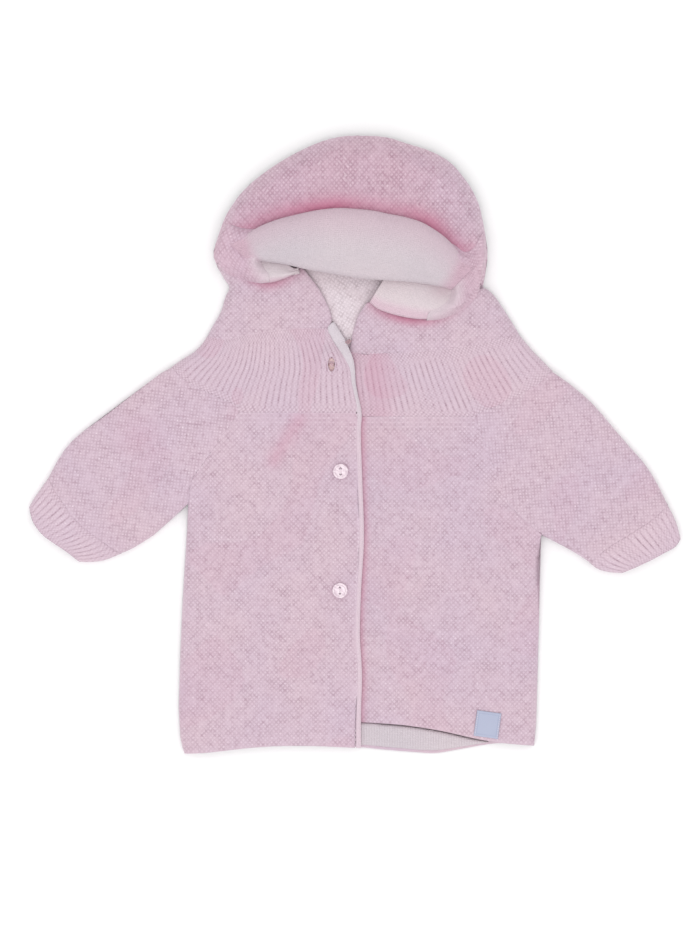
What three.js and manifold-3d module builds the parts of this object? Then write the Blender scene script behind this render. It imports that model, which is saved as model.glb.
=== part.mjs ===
// Baby's hooded knitted cardigan, laid flat on its back on a level surface.
// Millimetres. x runs to the wearer's left, y towards the hood, z up from the surface.
import * as THREE from 'three';
import { mergeVertices } from 'three/addons/utils/BufferGeometryUtils.js';
import Module from 'manifold-3d';

const wasm = await Module();
wasm.setup();

// Cloth and the heights of its layers
const CLOTH = 2.6;
const GAP = 0.3;
const SEAM_SIDE = 0.35;
const EDGE_LIP = 0.8;
const UPPER_BASE = CLOTH + GAP;
const FRONT_TOP = 9;
const UNDERLAP_DROP = CLOTH + 0.9;
const NECK_RISE = 1.6;
const NECK_RISE_FROM = 38;
const NECK_RISE_TO = 88;
const FOLD_RADIUS = 7;
const SEAM_DIP = 0.5;
const SEAM_DIP_WIDTH = 3;

// Ribs of the yoke and cuffs
const RIB_PITCH = 5;
const RIB_HEIGHT = 0.9;
const CUFF_DROP = 0.6;

// Placket, buttons and label
const UNDERLAP_EDGE = -22;
const OVERLAP_CORNER = { x: 0.5, y: -235.5 };
const UNDERLAP_CORNERS = { low: -215, high: 21.5 };
const UNDERLAP_BLEND_FROM = 8;
const UNDERLAP_BLEND_TO = 28;
const BUTTON = { radius: 6, height: 2.4, rim: 1.2, dish: 0.7, hole: 0.9, holeSpacing: 4.4 };
const BUTTON_SPOTS = { middle: { x: -11.2, y: -20.6 }, lower: { x: -11.7, y: -113.1 } };
const TOP_BUTTON = { x: -18.3, y: 62.4, lift: 3.9, spread: 11 };
const SLIT = { width: 6.5, length: 17, depth: 30 };
const LABEL = { x: 102.9, y: -217.2, width: 19, length: 20, thickness: 0.8, turn: -8 };

// Hood heights
const HOOD = { peak: 33, corner: 19, rim: 20, cornerRim: 16.5, bulge: 7, lip: 20.5, side: 12.6 };
const HOOD_VALLEY = 0.46;
const HOOD_PEAK_SHARE = 0.27;
const HOOD_SIDE_SWELL = 1.2;
const BAND_INSIDE = 22;
const BAND_NOSE = 4.4;
const BAND_ENDS = { from: 0.05, to: 0.95 };
const NECK_LINING_THICKNESS = 2;
const HEM_LINING = { thickness: 1.6, from: -18, to: 104 };

// Height at which the side fold of each front gives way to the armhole seam, and how fast
const UNDERARM = { right: -47, left: -70, blend: 14 };

// Round sizes of the pieces, which space their points and place their seam grooves
const SPANS = {
  frontRight: { across: 130, up: 265 }, frontLeft: { across: 162, up: 245 },
  yoke: { up: 60, neckSeam: 50 }, sleeve: { around: 100, along: 120, seams: 110 }, cuff: 26, facing: 360,
  crown: 330, band: 255, lip: 100, hoodSide: { across: 100, up: 45 },
};

// Colours sampled by eye
const PINK = new THREE.Color('#dcc0cf');
const PINK_RIB = new THREE.Color('#dabccb');
const LINING = new THREE.Color('#e3d9de');
const FACING = new THREE.Color('#dcd3da');
const PEARL = new THREE.Color('#f0e1e6');
const LABEL_GREY = new THREE.Color('#c3c6d8');

// Outlines as short tables of x and y, each row one point of the garment's edge
const points = (rows) => rows.map(([x, y]) => new THREE.Vector3(x, y, 0));

const BODY_SIDE_RIGHT = points([
  [-133.4, -240.2], [-136.6, -224], [-137.3, -208], [-136, -160], [-134.2, -121], [-131.5, -77],
  [-129.5, -47],
]);
const BODY_SIDE_LEFT = points([
  [140.4, -234], [141.2, -214], [142.7, -160], [143.5, -121], [142.3, -98], [144, -78], [144.6, -70],
]);
const HEM_RIGHT = points([
  [-133.4, -240.2], [-116, -239.4], [-82, -235.6], [-60, -234.2], [-30, -234.2], [4.8, -235.6],
]);
const HEM_BACK_LEFT = points([
  [4.8, -235.6], [25, -237.6], [47.6, -239.4], [62.4, -240.1], [81, -237.1], [108.4, -232.6], [121, -232.6],
  [140.4, -234],
]);
const HEM_FRONT_LEFT = points([
  [UNDERLAP_EDGE, UNDERLAP_CORNERS.low], [5.5, -216], [35, -217.6], [66, -222.2], [94, -228.4],
  [113, -231.6], [140.4, -233.4],
]);
const ARMHOLE_RIGHT = points([
  [-142.7, 60.8], [-134.5, 52.6], [-127.1, 47.6], [-112.3, 39.8], [-103, 35.5], [-92.5, 30.4], [-90.6, 25.6],
  [-94.5, 18.6], [-104.5, 5.5], [-117.8, -14], [-127.1, -27], [-129, -38], [-129.5, -47],
]);
const ARMHOLE_LEFT = points([
  [153.7, 57.7], [141.2, 46.8], [125.6, 38.6], [110.8, 30.2], [97.5, 25.4], [93.8, 21.8], [96.4, 12],
  [100.6, 1.6], [109.2, -20.3], [115.4, -38.2], [125.6, -53], [137, -63.5], [144.6, -70],
]);
const YOKE_LINE_RIGHT = points([[-90.6, 25.6], [-60, 25], [-30, 25], [0.7, 25]]);
const YOKE_LINE_LEFT = points([[UNDERLAP_EDGE, 21.8], [5, 21.8], [50, 22.2], [93.8, 21.8]]);
const NECK_RIGHT = points([
  [-114.7, 84.7], [-101.4, 82.2], [-89.7, 84.6], [-66.3, 88.6], [-42.9, 90.8], [-21.4, 90.6],
]);
const NECK_LEFT = points([
  [UNDERLAP_EDGE, 71], [-4.7, 72.2], [7.8, 71.2], [35.1, 71.8], [66.3, 74.1], [89.7, 77.2], [113.1, 82.4],
  [128.2, 85],
]);
const SHOULDER_RIGHT = points([
  [-142.7, 60.8], [-134.9, 66.3], [-124.8, 72.5], [-118.6, 78.8], [-114.7, 84.7],
]);
const SHOULDER_LEFT = points([[153.7, 57.7], [145.1, 66.3], [138.8, 72.5], [133.4, 78.8], [128.2, 85]]);
const PLACKET_EDGE = points([
  [4.8, -235.6], [4.7, -208], [5.5, -178], [3.9, -148], [4.7, -115], [7, -72.5], [5.9, -33], [4.6, 10.9],
  [5.2, 25], [2.3, 39], [0.5, 49.4], [0, 58.5], [-1.6, 67.3], [-4.3, 74.1], [-7, 80.7], [-12.5, 89.7],
  [-16.2, 95.6],
]);
const FACING_LINE = points([
  [0.8, -235.5], [0.7, -208], [1.5, -178], [-0.1, -148], [0.7, -115], [3, -72.5], [1.9, -33], [0.6, 10.9],
  [1.5, 25], [-1.2, 39], [-3.4, 49.4], [-4.4, 58.5], [-8.8, 67.3], [-13.3, 74.1], [-17.9, 80.7],
  [-21.4, 90.6], [-18.6, 94.6],
]);

// Sleeve and cuff outlines: the upper fold, the underarm fold, the rib seam and the cuff's end
const SLEEVE_RIGHT = {
  upper: points([
    [-142.7, 60.8], [-156, 52.6], [-171.6, 40.8], [-188, 28.4], [-204.4, 16], [-220, 3.4], [-229.5, -9],
    [-238.4, -25],
  ]),
  lower: points([[-129.5, -47], [-144.3, -59.2], [-157.6, -71], [-167.7, -77.6], [-181.7, -84.6]]),
  seam: points([
    [-238.4, -25], [-230.9, -39], [-216.8, -58.5], [-205.1, -68.6], [-191.1, -78.6], [-181.7, -84.6],
  ]),
  end: points([
    [-253.5, -48], [-251.2, -58], [-247.3, -65], [-241.8, -71], [-233.2, -77.2], [-223.9, -83.5],
    [-214.5, -91],
  ]),
  cuffUpper: points([[-238.4, -25], [-244.9, -34.4], [-250.4, -42.4], [-253.5, -48]]),
  cuffLower: points([[-181.7, -84.6], [-194.2, -89.6], [-205, -91.2], [-214.5, -91]]),
};
const SLEEVE_LEFT = {
  upper: points([
    [153.7, 57.7], [166.1, 48.2], [181, 35.8], [193.4, 22.6], [203.6, 10.1], [214.5, -2.3], [225.4, -14.8],
    [234, -28], [243.4, -46.8],
  ]),
  lower: points([[144.6, -70], [161.5, -78.4], [172.4, -84.6], [182.5, -91.8]]),
  seam: points([[243.4, -46.8], [230.1, -58.5], [214.5, -68.6], [197.3, -79.4], [182.5, -91.8]]),
  end: points([[253.5, -73], [248.8, -79.4], [241, -83.8], [230.1, -89.7], [216.8, -95.9], [207.5, -99.8]]),
  cuffUpper: points([[243.4, -46.8], [247, -53.4], [250.4, -61.4], [253.5, -73]]),
  cuffLower: points([[182.5, -91.8], [188.4, -96.4], [196.5, -98.9], [207.5, -99.8]]),
};

// Hood outlines: its silhouette, the folded rim of the face opening and the two lips
const HOOD_SILHOUETTE = points([
  [-107.6, 140], [-110, 147.4], [-106.9, 160], [-99.8, 178.6], [-86.6, 197.3], [-72.5, 209.8], [-53.8, 222.3],
  [-28.9, 234.6], [-10, 239.6], [8, 240.2], [26, 238.6], [40, 234.2], [57.7, 228.5], [72.5, 220.6],
  [82.7, 209.8],
  [91.3, 197.3], [96.7, 184.9], [100.6, 166.1], [103, 147.4], [101.4, 134.9], [99.8, 123.6],
]);
const HOOD_RIM = points([
  [-95.9, 137.6], [-86.6, 142.4], [-76.4, 144.1], [-55.4, 142], [-39, 138.4], [-16.4, 134.6], [6.2, 131],
  [28.1, 129.3], [50.7, 127.4], [70, 123.8], [81.9, 120.2], [89.7, 119.6],
]);
const LIP_RIGHT = {
  edge: points([
    [-92.6, 135.4], [-90, 133.6], [-81.9, 129.1], [-68.6, 125.6], [-58.5, 127.5], [-49.6, 131],
    [-43, 134.4],
  ]),
  inside: points([
    [-89, 138.4], [-82, 140.4], [-72, 145], [-61, 147], [-54, 141.6], [-48.4, 137.4], [-43.4, 136.2],
  ]),
};
const LIP_LEFT = {
  edge: points([
    [11.2, 110.6], [16.6, 106], [30.4, 100.8], [50.7, 97.4], [68.6, 99.3], [79, 105], [85.6, 112],
  ]),
  inside: points([
    [27, 136], [36, 137.6], [46, 137], [56, 134.6], [65, 129], [74, 121], [80, 118.6], [85, 117.4],
  ]),
};
const HOOD_SIDE_RIGHT = {
  upper: points([
    [-107.4, 138.8], [-100.6, 137.6], [-91.3, 135.8], [-81.9, 130.9], [-68.6, 127.4], [-58.5, 129.3],
    [-49.1, 133.4], [-40.6, 137.8],
  ]),
  outer: points([
    [-114.7, 85.2], [-111.5, 91.3], [-104.5, 103.7], [-100.6, 116.2], [-97.6, 122.6], [-101.4, 128.6],
    [-107.4, 138.8],
  ]),
  neck: points([[-21.4, 91.1], [-18, 96.6], [-25.7, 117.4], [-40.6, 137.8]]),
};
const HOOD_SIDE_LEFT = {
  upper: points([
    [10.6, 112], [16.6, 108], [30.4, 102.8], [50.7, 99.4], [68.6, 101.3], [80.6, 107.6], [90.4, 116.8],
    [99.6, 122.6],
  ]),
  outer: points([[128.2, 85.5], [124.8, 91.3], [117, 103.7], [108.4, 116.2], [103.6, 120.8], [99.6, 122.6]]),
  neck: points([[-4.7, 72.7], [-3.6, 78], [-1.6, 87.4], [3.1, 101.4], [10.6, 112]]),
};
const NECK_LINING = points([
  [-84, 156], [-72, 182], [-40, 206], [8, 214], [52, 205], [76, 184], [86, 150], [78, 112], [48, 94],
  [14, 86],
  [-8, 85], [-44, 98], [-76, 118],
]);
const HEM_LINING_LOWER = points([
  [-18, -232.4], [8, -233.6], [30, -235.6], [62, -237.6], [86, -234.4], [104, -231.4],
]);

// Soft folds: the crest runs from one point to the other, reach is its half width, rise is up or down
const FOLDS = [
  { x1: -48, y1: 20, x2: -57, y2: -34, reach: 7, rise: -1.3 },
  { x1: -63, y1: 14, x2: -70, y2: -40, reach: 8, rise: 0.7 },
  { x1: -104, y1: -30, x2: -84, y2: -92, reach: 12, rise: -0.9 },
  { x1: -118, y1: -120, x2: -96, y2: -205, reach: 14, rise: 0.6 },
  { x1: -58, y1: -120, x2: -52, y2: -196, reach: 16, rise: -0.7 },
  { x1: -96, y1: -229, x2: -12, y2: -222, reach: 4, rise: 0.8 },
  { x1: 48, y1: 8, x2: 58, y2: -60, reach: 11, rise: -1 },
  { x1: 84, y1: -44, x2: 96, y2: -120, reach: 13, rise: 0.7 },
  { x1: 118, y1: -84, x2: 104, y2: -170, reach: 12, rise: -0.9 },
  { x1: 44, y1: -120, x2: 60, y2: -190, reach: 15, rise: -0.6 },
  { x1: -178, y1: 16, x2: -148, y2: -10, reach: 9, rise: -1 },
  { x1: -206, y1: -12, x2: -176, y2: -44, reach: 10, rise: -0.7 },
  { x1: 176, y1: 14, x2: 150, y2: -18, reach: 9, rise: -1 },
  { x1: 214, y1: -26, x2: 184, y2: -58, reach: 10, rise: -0.7 },
];

// Helpers on lines: every line is a list of close points, walked by the share of its length
const curve = (rows) => new THREE.CatmullRomCurve3(rows, false, 'centripetal');
const smooth = (rows, count = 96) => curve(rows).getSpacedPoints(count);
const flipped = (list) => [...list].reverse();
const mix = (a, b, share) => a + (b - a) * share;

function ease(value) {
  const t = Math.min(1, Math.max(0, value));
  return t * t * (3 - 2 * t);
}

function along(list) {
  const reach = [0];
  for (let i = 1; i < list.length; i++) {
    reach.push(reach[i - 1] + list[i].distanceTo(list[i - 1]));
  }
  const total = reach.at(-1);
  const walk = (share) => {
    const target = Math.min(1, Math.max(0, share)) * total;
    let i = 1;
    while (i < reach.length - 1 && reach[i] < target) {
      i += 1;
    }
    const part = (target - reach[i - 1]) / (reach[i] - reach[i - 1]);
    return new THREE.Vector3().lerpVectors(list[i - 1], list[i], part);
  };
  walk.total = total;
  return walk;
}

// Moves a line sideways: a positive gap moves it to the left of its direction
function beside(list, gap) {
  return list.map((point, i) => {
    const before = list[Math.max(0, i - 1)];
    const after = list[Math.min(list.length - 1, i + 1)];
    const step = new THREE.Vector3().subVectors(after, before).normalize();
    return new THREE.Vector3(point.x - step.y * gap, point.y + step.x * gap, 0);
  });
}

function nearestIndex(list, target) {
  let best = 0;
  list.forEach((point, i) => {
    if (point.distanceTo(target) < list[best].distanceTo(target)) {
      best = i;
    }
  });
  return best;
}

// Line drawn to new ends, its points moved by a share of the ends' own moves
function pinned(list, start, end) {
  const moveStart = new THREE.Vector3().subVectors(start, list[0]);
  const moveEnd = new THREE.Vector3().subVectors(end, list.at(-1));
  return list.map((point, i) => {
    const share = i / (list.length - 1);
    return point.clone().addScaledVector(moveStart, 1 - share).addScaledVector(moveEnd, share);
  });
}

// Plan of a piece between its four edge lines
function patch(bottom, top, left, right) {
  const sides = [pinned(left, bottom[0], top[0]), pinned(right, bottom.at(-1), top.at(-1))];
  const [b, t, l, r] = [bottom, top, ...sides].map(along);
  const corner = [b(0), b(1), t(0), t(1)];
  const blend = (axis, u, v) => {
    const rails = mix(b(u)[axis], t(u)[axis], v) + mix(l(v)[axis], r(v)[axis], u);
    const [low, high] = [0, 2].map((first) => mix(corner[first][axis], corner[first + 1][axis], u));
    return rails - mix(low, high, v);
  };
  const plan = (u, v) => ({ x: blend('x', u, v), y: blend('y', u, v) });
  plan.width = (v) => l(v).distanceTo(r(v));
  return plan;
}

// Shares of a width, closer together at an edge that rounds over
const ROUND_STEPS = [0, 0.5, 1.8, 4, 7];
const FLAT_STEPS = [0];
const SEAM_STEPS = [0, 2.5];

function stations(width, count, startSteps = FLAT_STEPS, endSteps = FLAT_STEPS) {
  const first = startSteps.at(-1);
  const last = width - endSteps.at(-1);
  const middle = Array.from({ length: count - 1 }, (_, k) => mix(first, last, (k + 1) / count));
  const ending = flipped(endSteps).map((step) => width - step);
  return [...startSteps, ...middle, ...ending].map((distance) => distance / width);
}

// Shares up a front: few rows beside the body's side, more beside the curved armhole
function twoPartStations(split, lowCount, highCount) {
  const low = Array.from({ length: lowCount }, (_, k) => split * k / lowCount);
  const high = Array.from({ length: highCount }, (_, k) => mix(split, 0.99, k / (highCount - 1)));
  return [...low, ...high, 1];
}

// Height share of a quarter round at a distance from the fold
function rounding(distance, radius) {
  const t = Math.min(1, Math.max(0, distance / radius));
  return Math.sqrt(1 - (1 - t) ** 2);
}

function foldRelief(x, y) {
  let rise = 0;
  for (const fold of FOLDS) {
    const dx = fold.x2 - fold.x1;
    const dy = fold.y2 - fold.y1;
    const share = Math.min(1, Math.max(0, ((x - fold.x1) * dx + (y - fold.y1) * dy) / (dx * dx + dy * dy)));
    const away = Math.hypot(x - fold.x1 - share * dx, y - fold.y1 - share * dy);
    rise += fold.rise * Math.exp(-((away / fold.reach) ** 2));
  }
  return rise;
}

const neckRise = (y) => NECK_RISE * ease((y - NECK_RISE_FROM) / (NECK_RISE_TO - NECK_RISE_FROM));
const seamDip = (distance) => SEAM_DIP * Math.exp(-((distance / SEAM_DIP_WIDTH) ** 2));

function topButtonLift(x, y) {
  const away = Math.hypot(x - TOP_BUTTON.x, y - TOP_BUTTON.y);
  return TOP_BUTTON.lift * (1 - ease((away - BUTTON.radius - 1) / TOP_BUTTON.spread));
}

function overlapTop(x, y) {
  return FRONT_TOP + neckRise(y) + topButtonLift(x, y) + foldRelief(x, y) * ease((-10 - x) / 20);
}

const underlapShare = (x) => 1 - ease((x - UNDERLAP_BLEND_FROM) / (UNDERLAP_BLEND_TO - UNDERLAP_BLEND_FROM));

function underlapTop(x, y) {
  const covered = underlapShare(x);
  return FRONT_TOP + neckRise(y) - UNDERLAP_DROP * covered + foldRelief(x, y) * (1 - covered);
}

// Closed wall between an outer and an inner grid of points
function wall(outer, inner, ring = false) {
  const rows = outer.length;
  const columns = outer[0].length;
  const spans = ring ? columns : columns - 1;
  const faces = [];
  const at = (side, i, j) => side * rows * columns + i * columns + (j % columns);
  const quad = (a, b, c, d) => faces.push(a, b, c, a, c, d);
  for (let i = 0; i < rows - 1; i++) {
    for (let j = 0; j < spans; j++) {
      quad(at(0, i, j), at(0, i, j + 1), at(0, i + 1, j + 1), at(0, i + 1, j));
      quad(at(1, i, j), at(1, i + 1, j), at(1, i + 1, j + 1), at(1, i, j + 1));
    }
    if (!ring) {
      const j = columns - 1;
      quad(at(0, i, 0), at(0, i + 1, 0), at(1, i + 1, 0), at(1, i, 0));
      quad(at(0, i, j), at(1, i, j), at(1, i + 1, j), at(0, i + 1, j));
    }
  }
  for (let j = 0; j < spans; j++) {
    const i = rows - 1;
    quad(at(0, 0, j), at(1, 0, j), at(1, 0, j + 1), at(0, 0, j + 1));
    quad(at(0, i, j), at(0, i, j + 1), at(1, i, j + 1), at(1, i, j));
  }
  return facingOut([...outer.flat(), ...inner.flat()], faces);
}

function facingOut(corners, faces) {
  const vector = (index) => new THREE.Vector3(...corners[index]);
  let volume = 0;
  for (let i = 0; i < faces.length; i += 3) {
    volume += vector(faces[i]).dot(vector(faces[i + 1]).cross(vector(faces[i + 2])));
  }
  const geometry = new THREE.BufferGeometry();
  geometry.setAttribute('position', new THREE.Float32BufferAttribute(corners.flat(), 3));
  geometry.setIndex(volume < 0 ? flipped(faces) : faces);
  geometry.computeVertexNormals();
  return geometry;
}

// Single layer of cloth: profile gives its upper and under heights at each place
function sheet(plan, us, vs, profile) {
  const outer = [];
  const inner = [];
  for (const v of vs) {
    const spots = us.map((u) => ({ ...plan(u, v), u, v }));
    const heights = spots.map((spot) => profile(spot));
    outer.push(spots.map((spot, j) => [spot.x, spot.y, heights[j].top]));
    inner.push(spots.map((spot, j) => [spot.x, spot.y, heights[j].bottom]));
  }
  return wall(outer, inner);
}

// Heights of an upper layer that folds down to the back at an edge
function foldedHeights(full, distance, foldShare, radius = FOLD_RADIUS) {
  const over = 1 - foldShare * (1 - rounding(distance, radius));
  const under = 1 - foldShare * (1 - rounding(distance - CLOTH, radius - CLOTH));
  const lowTop = UPPER_BASE + EDGE_LIP;
  return {
    top: mix(lowTop, full, over),
    bottom: mix(UPPER_BASE, full - CLOTH, under),
  };
}

// Flattened tube of cloth, open at both ends, flat underneath
function tube(plan, us, vs, topAt) {
  const over = us.map((u) => ({ u, up: true }));
  const below = flipped(us).slice(1, -1).map((u) => ({ u, up: false }));
  const outer = [];
  const inner = [];
  for (const v of vs) {
    const width = plan.width(v);
    const outerRow = [];
    const innerRow = [];
    for (const { u, up } of [...over, ...below]) {
      const insetU = (CLOTH + u * (width - 2 * CLOTH)) / width;
      const place = plan(u, v);
      const insetPlace = plan(insetU, v);
      const top = topAt(place.x, place.y, u, v, width);
      const half = FRONT_TOP / 2;
      const share = rounding(Math.min(u, 1 - u) * width, half);
      const insetShare = rounding(Math.min(insetU, 1 - insetU) * width - CLOTH, half - CLOTH);
      const plainTop = top.plain - CLOTH;
      outerRow.push([place.x, place.y, up ? mix(half, top.ribbed, share) : mix(half, 0, share)]);
      const insetHeight = mix(half, up ? plainTop : CLOTH, insetShare);
      innerRow.push([insetPlace.x, insetPlace.y, insetHeight]);
    }
    outer.push(outerRow);
    inner.push(innerRow);
  }
  return wall(outer, inner, true);
}

// Wall swept along a line from sections in the plane across it
function sectionWall(from, to, us, sectionAt) {
  const [start, finish] = [from, to].map(along);
  const outer = [];
  const inner = [];
  for (const u of us) {
    const origin = start(u);
    const across = new THREE.Vector3().subVectors(finish(u), origin);
    const length = across.length();
    across.normalize();
    const path = sectionAt(u, length);
    const place = ([s, z]) => [origin.x + across.x * s, origin.y + across.y * s, z];
    outer.push(path.map(place));
    inner.push(insetPath(path).map(place));
  }
  return wall(outer, inner);
}

// Section path moved inwards by the cloth's thickness, or by a row's own third value
function insetPath(path) {
  return path.map(([s, z, thickness = CLOTH], i) => {
    const before = path[Math.max(0, i - 1)];
    const after = path[Math.min(path.length - 1, i + 1)];
    const run = after[0] - before[0];
    const rise = after[1] - before[1];
    const size = Math.hypot(run, rise);
    return [s + (rise / size) * thickness, z - (run / size) * thickness];
  });
}

// Flat layer on the level surface or on another flat layer
function plate(outline, low, thickness) {
  const shape = new THREE.Shape(outline.map((point) => new THREE.Vector2(point.x, point.y)));
  const geometry = new THREE.ExtrudeGeometry(shape, { depth: thickness, bevelEnabled: false });
  geometry.translate(0, 0, low);
  return geometry;
}

function solid(geometry) {
  const bare = geometry.clone();
  bare.deleteAttribute('normal');
  bare.deleteAttribute('uv');
  const merged = mergeVertices(bare, 1e-4);
  const vertProperties = new Float32Array(merged.attributes.position.array);
  const triVerts = new Uint32Array(merged.index.array);
  return new wasm.Manifold(new wasm.Mesh({ numProp: 3, vertProperties, triVerts }));
}

function fromSolid(body) {
  const mesh = body.getMesh();
  const geometry = new THREE.BufferGeometry();
  geometry.setAttribute('position', new THREE.BufferAttribute(new Float32Array(mesh.vertProperties), 3));
  geometry.setIndex(new THREE.BufferAttribute(new Uint32Array(mesh.triVerts), 1));
  geometry.computeVertexNormals();
  return geometry;
}

const cardigan = new THREE.Group();

function add(name, geometry, color, roughness = 0.9) {
  const mesh = new THREE.Mesh(geometry, new THREE.MeshStandardMaterial({ color, roughness, metalness: 0 }));
  mesh.name = name;
  cardigan.add(mesh);
}

// Shared lines
const armholeRight = smooth(ARMHOLE_RIGHT, 120);
const armholeLeft = smooth(ARMHOLE_LEFT, 120);
const cornerRight = nearestIndex(armholeRight, YOKE_LINE_RIGHT[0]);
const cornerLeft = nearestIndex(armholeLeft, YOKE_LINE_LEFT.at(-1));
const hoodSilhouette = smooth(HOOD_SILHOUETTE, 160);
const hoodRim = smooth(HOOD_RIM, 120);
const placketEdge = smooth(PLACKET_EDGE, 120);
const facingLine = smooth(FACING_LINE, 120);

// Part of the facing line between two heights, running upwards
function facingBetween(low, high) {
  return facingLine.filter((point, i) => point.y > low && point.y < high && i < facingLine.length - 4);
}

// Body: back panel, the two fronts and the pale hem lining
function bodyBack() {
  const outline = [
    ...smooth(HEM_RIGHT, 20), ...smooth(HEM_BACK_LEFT, 24).slice(1),
    ...smooth(BODY_SIDE_LEFT, 16).slice(1, -1),
    ...beside(flipped(armholeLeft.slice(cornerLeft)), SEAM_SIDE).filter((_, i) => i % 4 === 0),
    new THREE.Vector3(92.8, 21.2, 0), new THREE.Vector3(-89.6, 24.4, 0),
    ...beside(armholeRight.slice(cornerRight), 2 * SEAM_SIDE).filter((_, i) => i % 3 === 0).slice(1),
    ...flipped(smooth(BODY_SIDE_RIGHT, 16)).slice(1, -1),
  ];
  return plate(outline, 0, CLOTH);
}

// Share of a body side that is folded: all of it low down, none of it beside the armhole
const sideFold = (y, underarm) => 1 - ease((y - underarm + UNDERARM.blend) / UNDERARM.blend);

function frontRight() {
  const hole = beside(flipped(armholeRight.slice(cornerRight)), -SEAM_SIDE);
  const side = [...smooth(BODY_SIDE_RIGHT, 60), ...hole.slice(1)];
  const corner = new THREE.Vector3(OVERLAP_CORNER.x, OVERLAP_CORNER.y, 0);
  const top = beside(smooth(YOKE_LINE_RIGHT, 40), -SEAM_SIDE);
  const inner = [corner, ...beside(facingBetween(-235, 24.6), 2 * GAP)];
  const hem = smooth([...HEM_RIGHT.slice(0, -1), corner], 60);
  const { across, up } = SPANS.frontRight;
  const plan = patch(hem, top, side, inner);
  const us = stations(across, 8, ROUND_STEPS, SEAM_STEPS);
  const vs = twoPartStations(0.7, 7, 9);
  return sheet(plan, us, vs, ({ x, y, u, v }) => {
    const fold = sideFold(y, UNDERARM.right);
    const dip = seamDip((1 - v) * up) + seamDip(v * up) + seamDip(u * across) * (1 - fold);
    return foldedHeights(overlapTop(x, y) - dip, u * plan.width(v), fold);
  });
}

function frontLeft() {
  const hole = beside(flipped(armholeLeft.slice(cornerLeft)), SEAM_SIDE);
  const side = [...smooth(BODY_SIDE_LEFT, 60), ...hole.slice(1)];
  const top = beside(smooth(YOKE_LINE_LEFT, 40), -SEAM_SIDE);
  const inner = points([[UNDERLAP_EDGE, UNDERLAP_CORNERS.low], [UNDERLAP_EDGE, UNDERLAP_CORNERS.high]]);
  const hem = smooth([...HEM_FRONT_LEFT.slice(0, -1), BODY_SIDE_LEFT[0]], 60);
  const plan = patch(hem, top, inner, side);
  const { across, up } = SPANS.frontLeft;
  const us = stations(across, 10, SEAM_STEPS, ROUND_STEPS);
  const vs = twoPartStations(0.6, 6, 11);
  return sheet(plan, us, vs, ({ x, y, u, v }) => {
    const fold = sideFold(y, UNDERARM.left);
    const dip = seamDip((1 - v) * up) + seamDip((1 - u) * across) * (1 - fold);
    return foldedHeights(underlapTop(x, y) - dip * (1 - underlapShare(x)), (1 - u) * plan.width(v), fold);
  });
}

// Facing along the overlap's edge, its outer side rounded
function placketFacing() {
  const inner = along(facingLine);
  const edge = along(placketEdge);
  const rows = stations(SPANS.facing, 34);
  const outer = [];
  const under = [];
  for (const v of rows) {
    const a = inner(v);
    const b = edge(v);
    const at = (share) => [mix(a.x, b.x, share), mix(a.y, b.y, share)];
    const top = overlapTop(a.x, a.y);
    const low = top - CLOTH;
    outer.push([[...at(0), top - 0.3], [...at(0.35), top + 0.2], [...at(0.75), top], [...at(1), top - 0.9]]);
    under.push([[...at(0), low], [...at(0.35), low], [...at(0.75), low], [...at(1), low + 0.7]]);
  }
  return wall(outer, under);
}

// Yokes: ribs fan out from the neck seam to the yoke's edge
function ribbedYoke(plan, columns, heightAt, ribsFrom = Number.NEGATIVE_INFINITY) {
  const us = Array.from({ length: columns + 1 }, (_, k) => k / columns);
  const vs = stations(SPANS.yoke.up, 3, SEAM_STEPS, SEAM_STEPS);
  return sheet(plan, us, vs, ({ x, y, u, v }) => {
    const fade = ease(v / 0.05) * ease((1 - v) / 0.1) * ease((x - ribsFrom) / 4);
    const rib = Math.round(u * columns) % 2 === 1 ? RIB_HEIGHT * fade : 0;
    const heights = heightAt(x, y, u, v);
    return { top: heights.top + rib * heights.share, bottom: heights.bottom };
  });
}

const yokeDip = (v) => seamDip(v * SPANS.yoke.up) + seamDip((1 - v) * SPANS.yoke.neckSeam);

function yokeRight() {
  const hole = beside(armholeRight.slice(0, cornerRight + 1), SEAM_SIDE);
  const edge = [...hole, ...beside(smooth(YOKE_LINE_RIGHT, 40), SEAM_SIDE).slice(2)];
  const inner = beside(facingBetween(25.6, 90), 2 * GAP);
  const neck = beside(smooth(NECK_RIGHT, 40), -SEAM_SIDE);
  const bottom = [...edge.filter((point) => point.x < inner[0].x - 0.5), inner[0]];
  const top = [...neck.filter((point) => point.x < inner.at(-1).x - 0.5), inner.at(-1)];
  const plan = patch(bottom, top, smooth(SHOULDER_RIGHT, 30), inner);
  const columns = 2 * Math.round(along(edge).total / RIB_PITCH);
  const body = solid(ribbedYoke(plan, columns, (x, y, u, v) => {
    const dip = yokeDip(v);
    const distance = u * plan.width(v);
    const heights = foldedHeights(overlapTop(x, y) - dip, distance, 1);
    return { ...heights, share: rounding(distance, FOLD_RADIUS) };
  }));
  const slit = new THREE.CylinderGeometry(0.5, 0.5, SLIT.depth, 20);
  slit.rotateX(Math.PI / 2);
  slit.scale(SLIT.width, SLIT.length, 1);
  slit.translate(TOP_BUTTON.x, TOP_BUTTON.y, FRONT_TOP);
  return fromSolid(body.subtract(solid(slit)));
}

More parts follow.
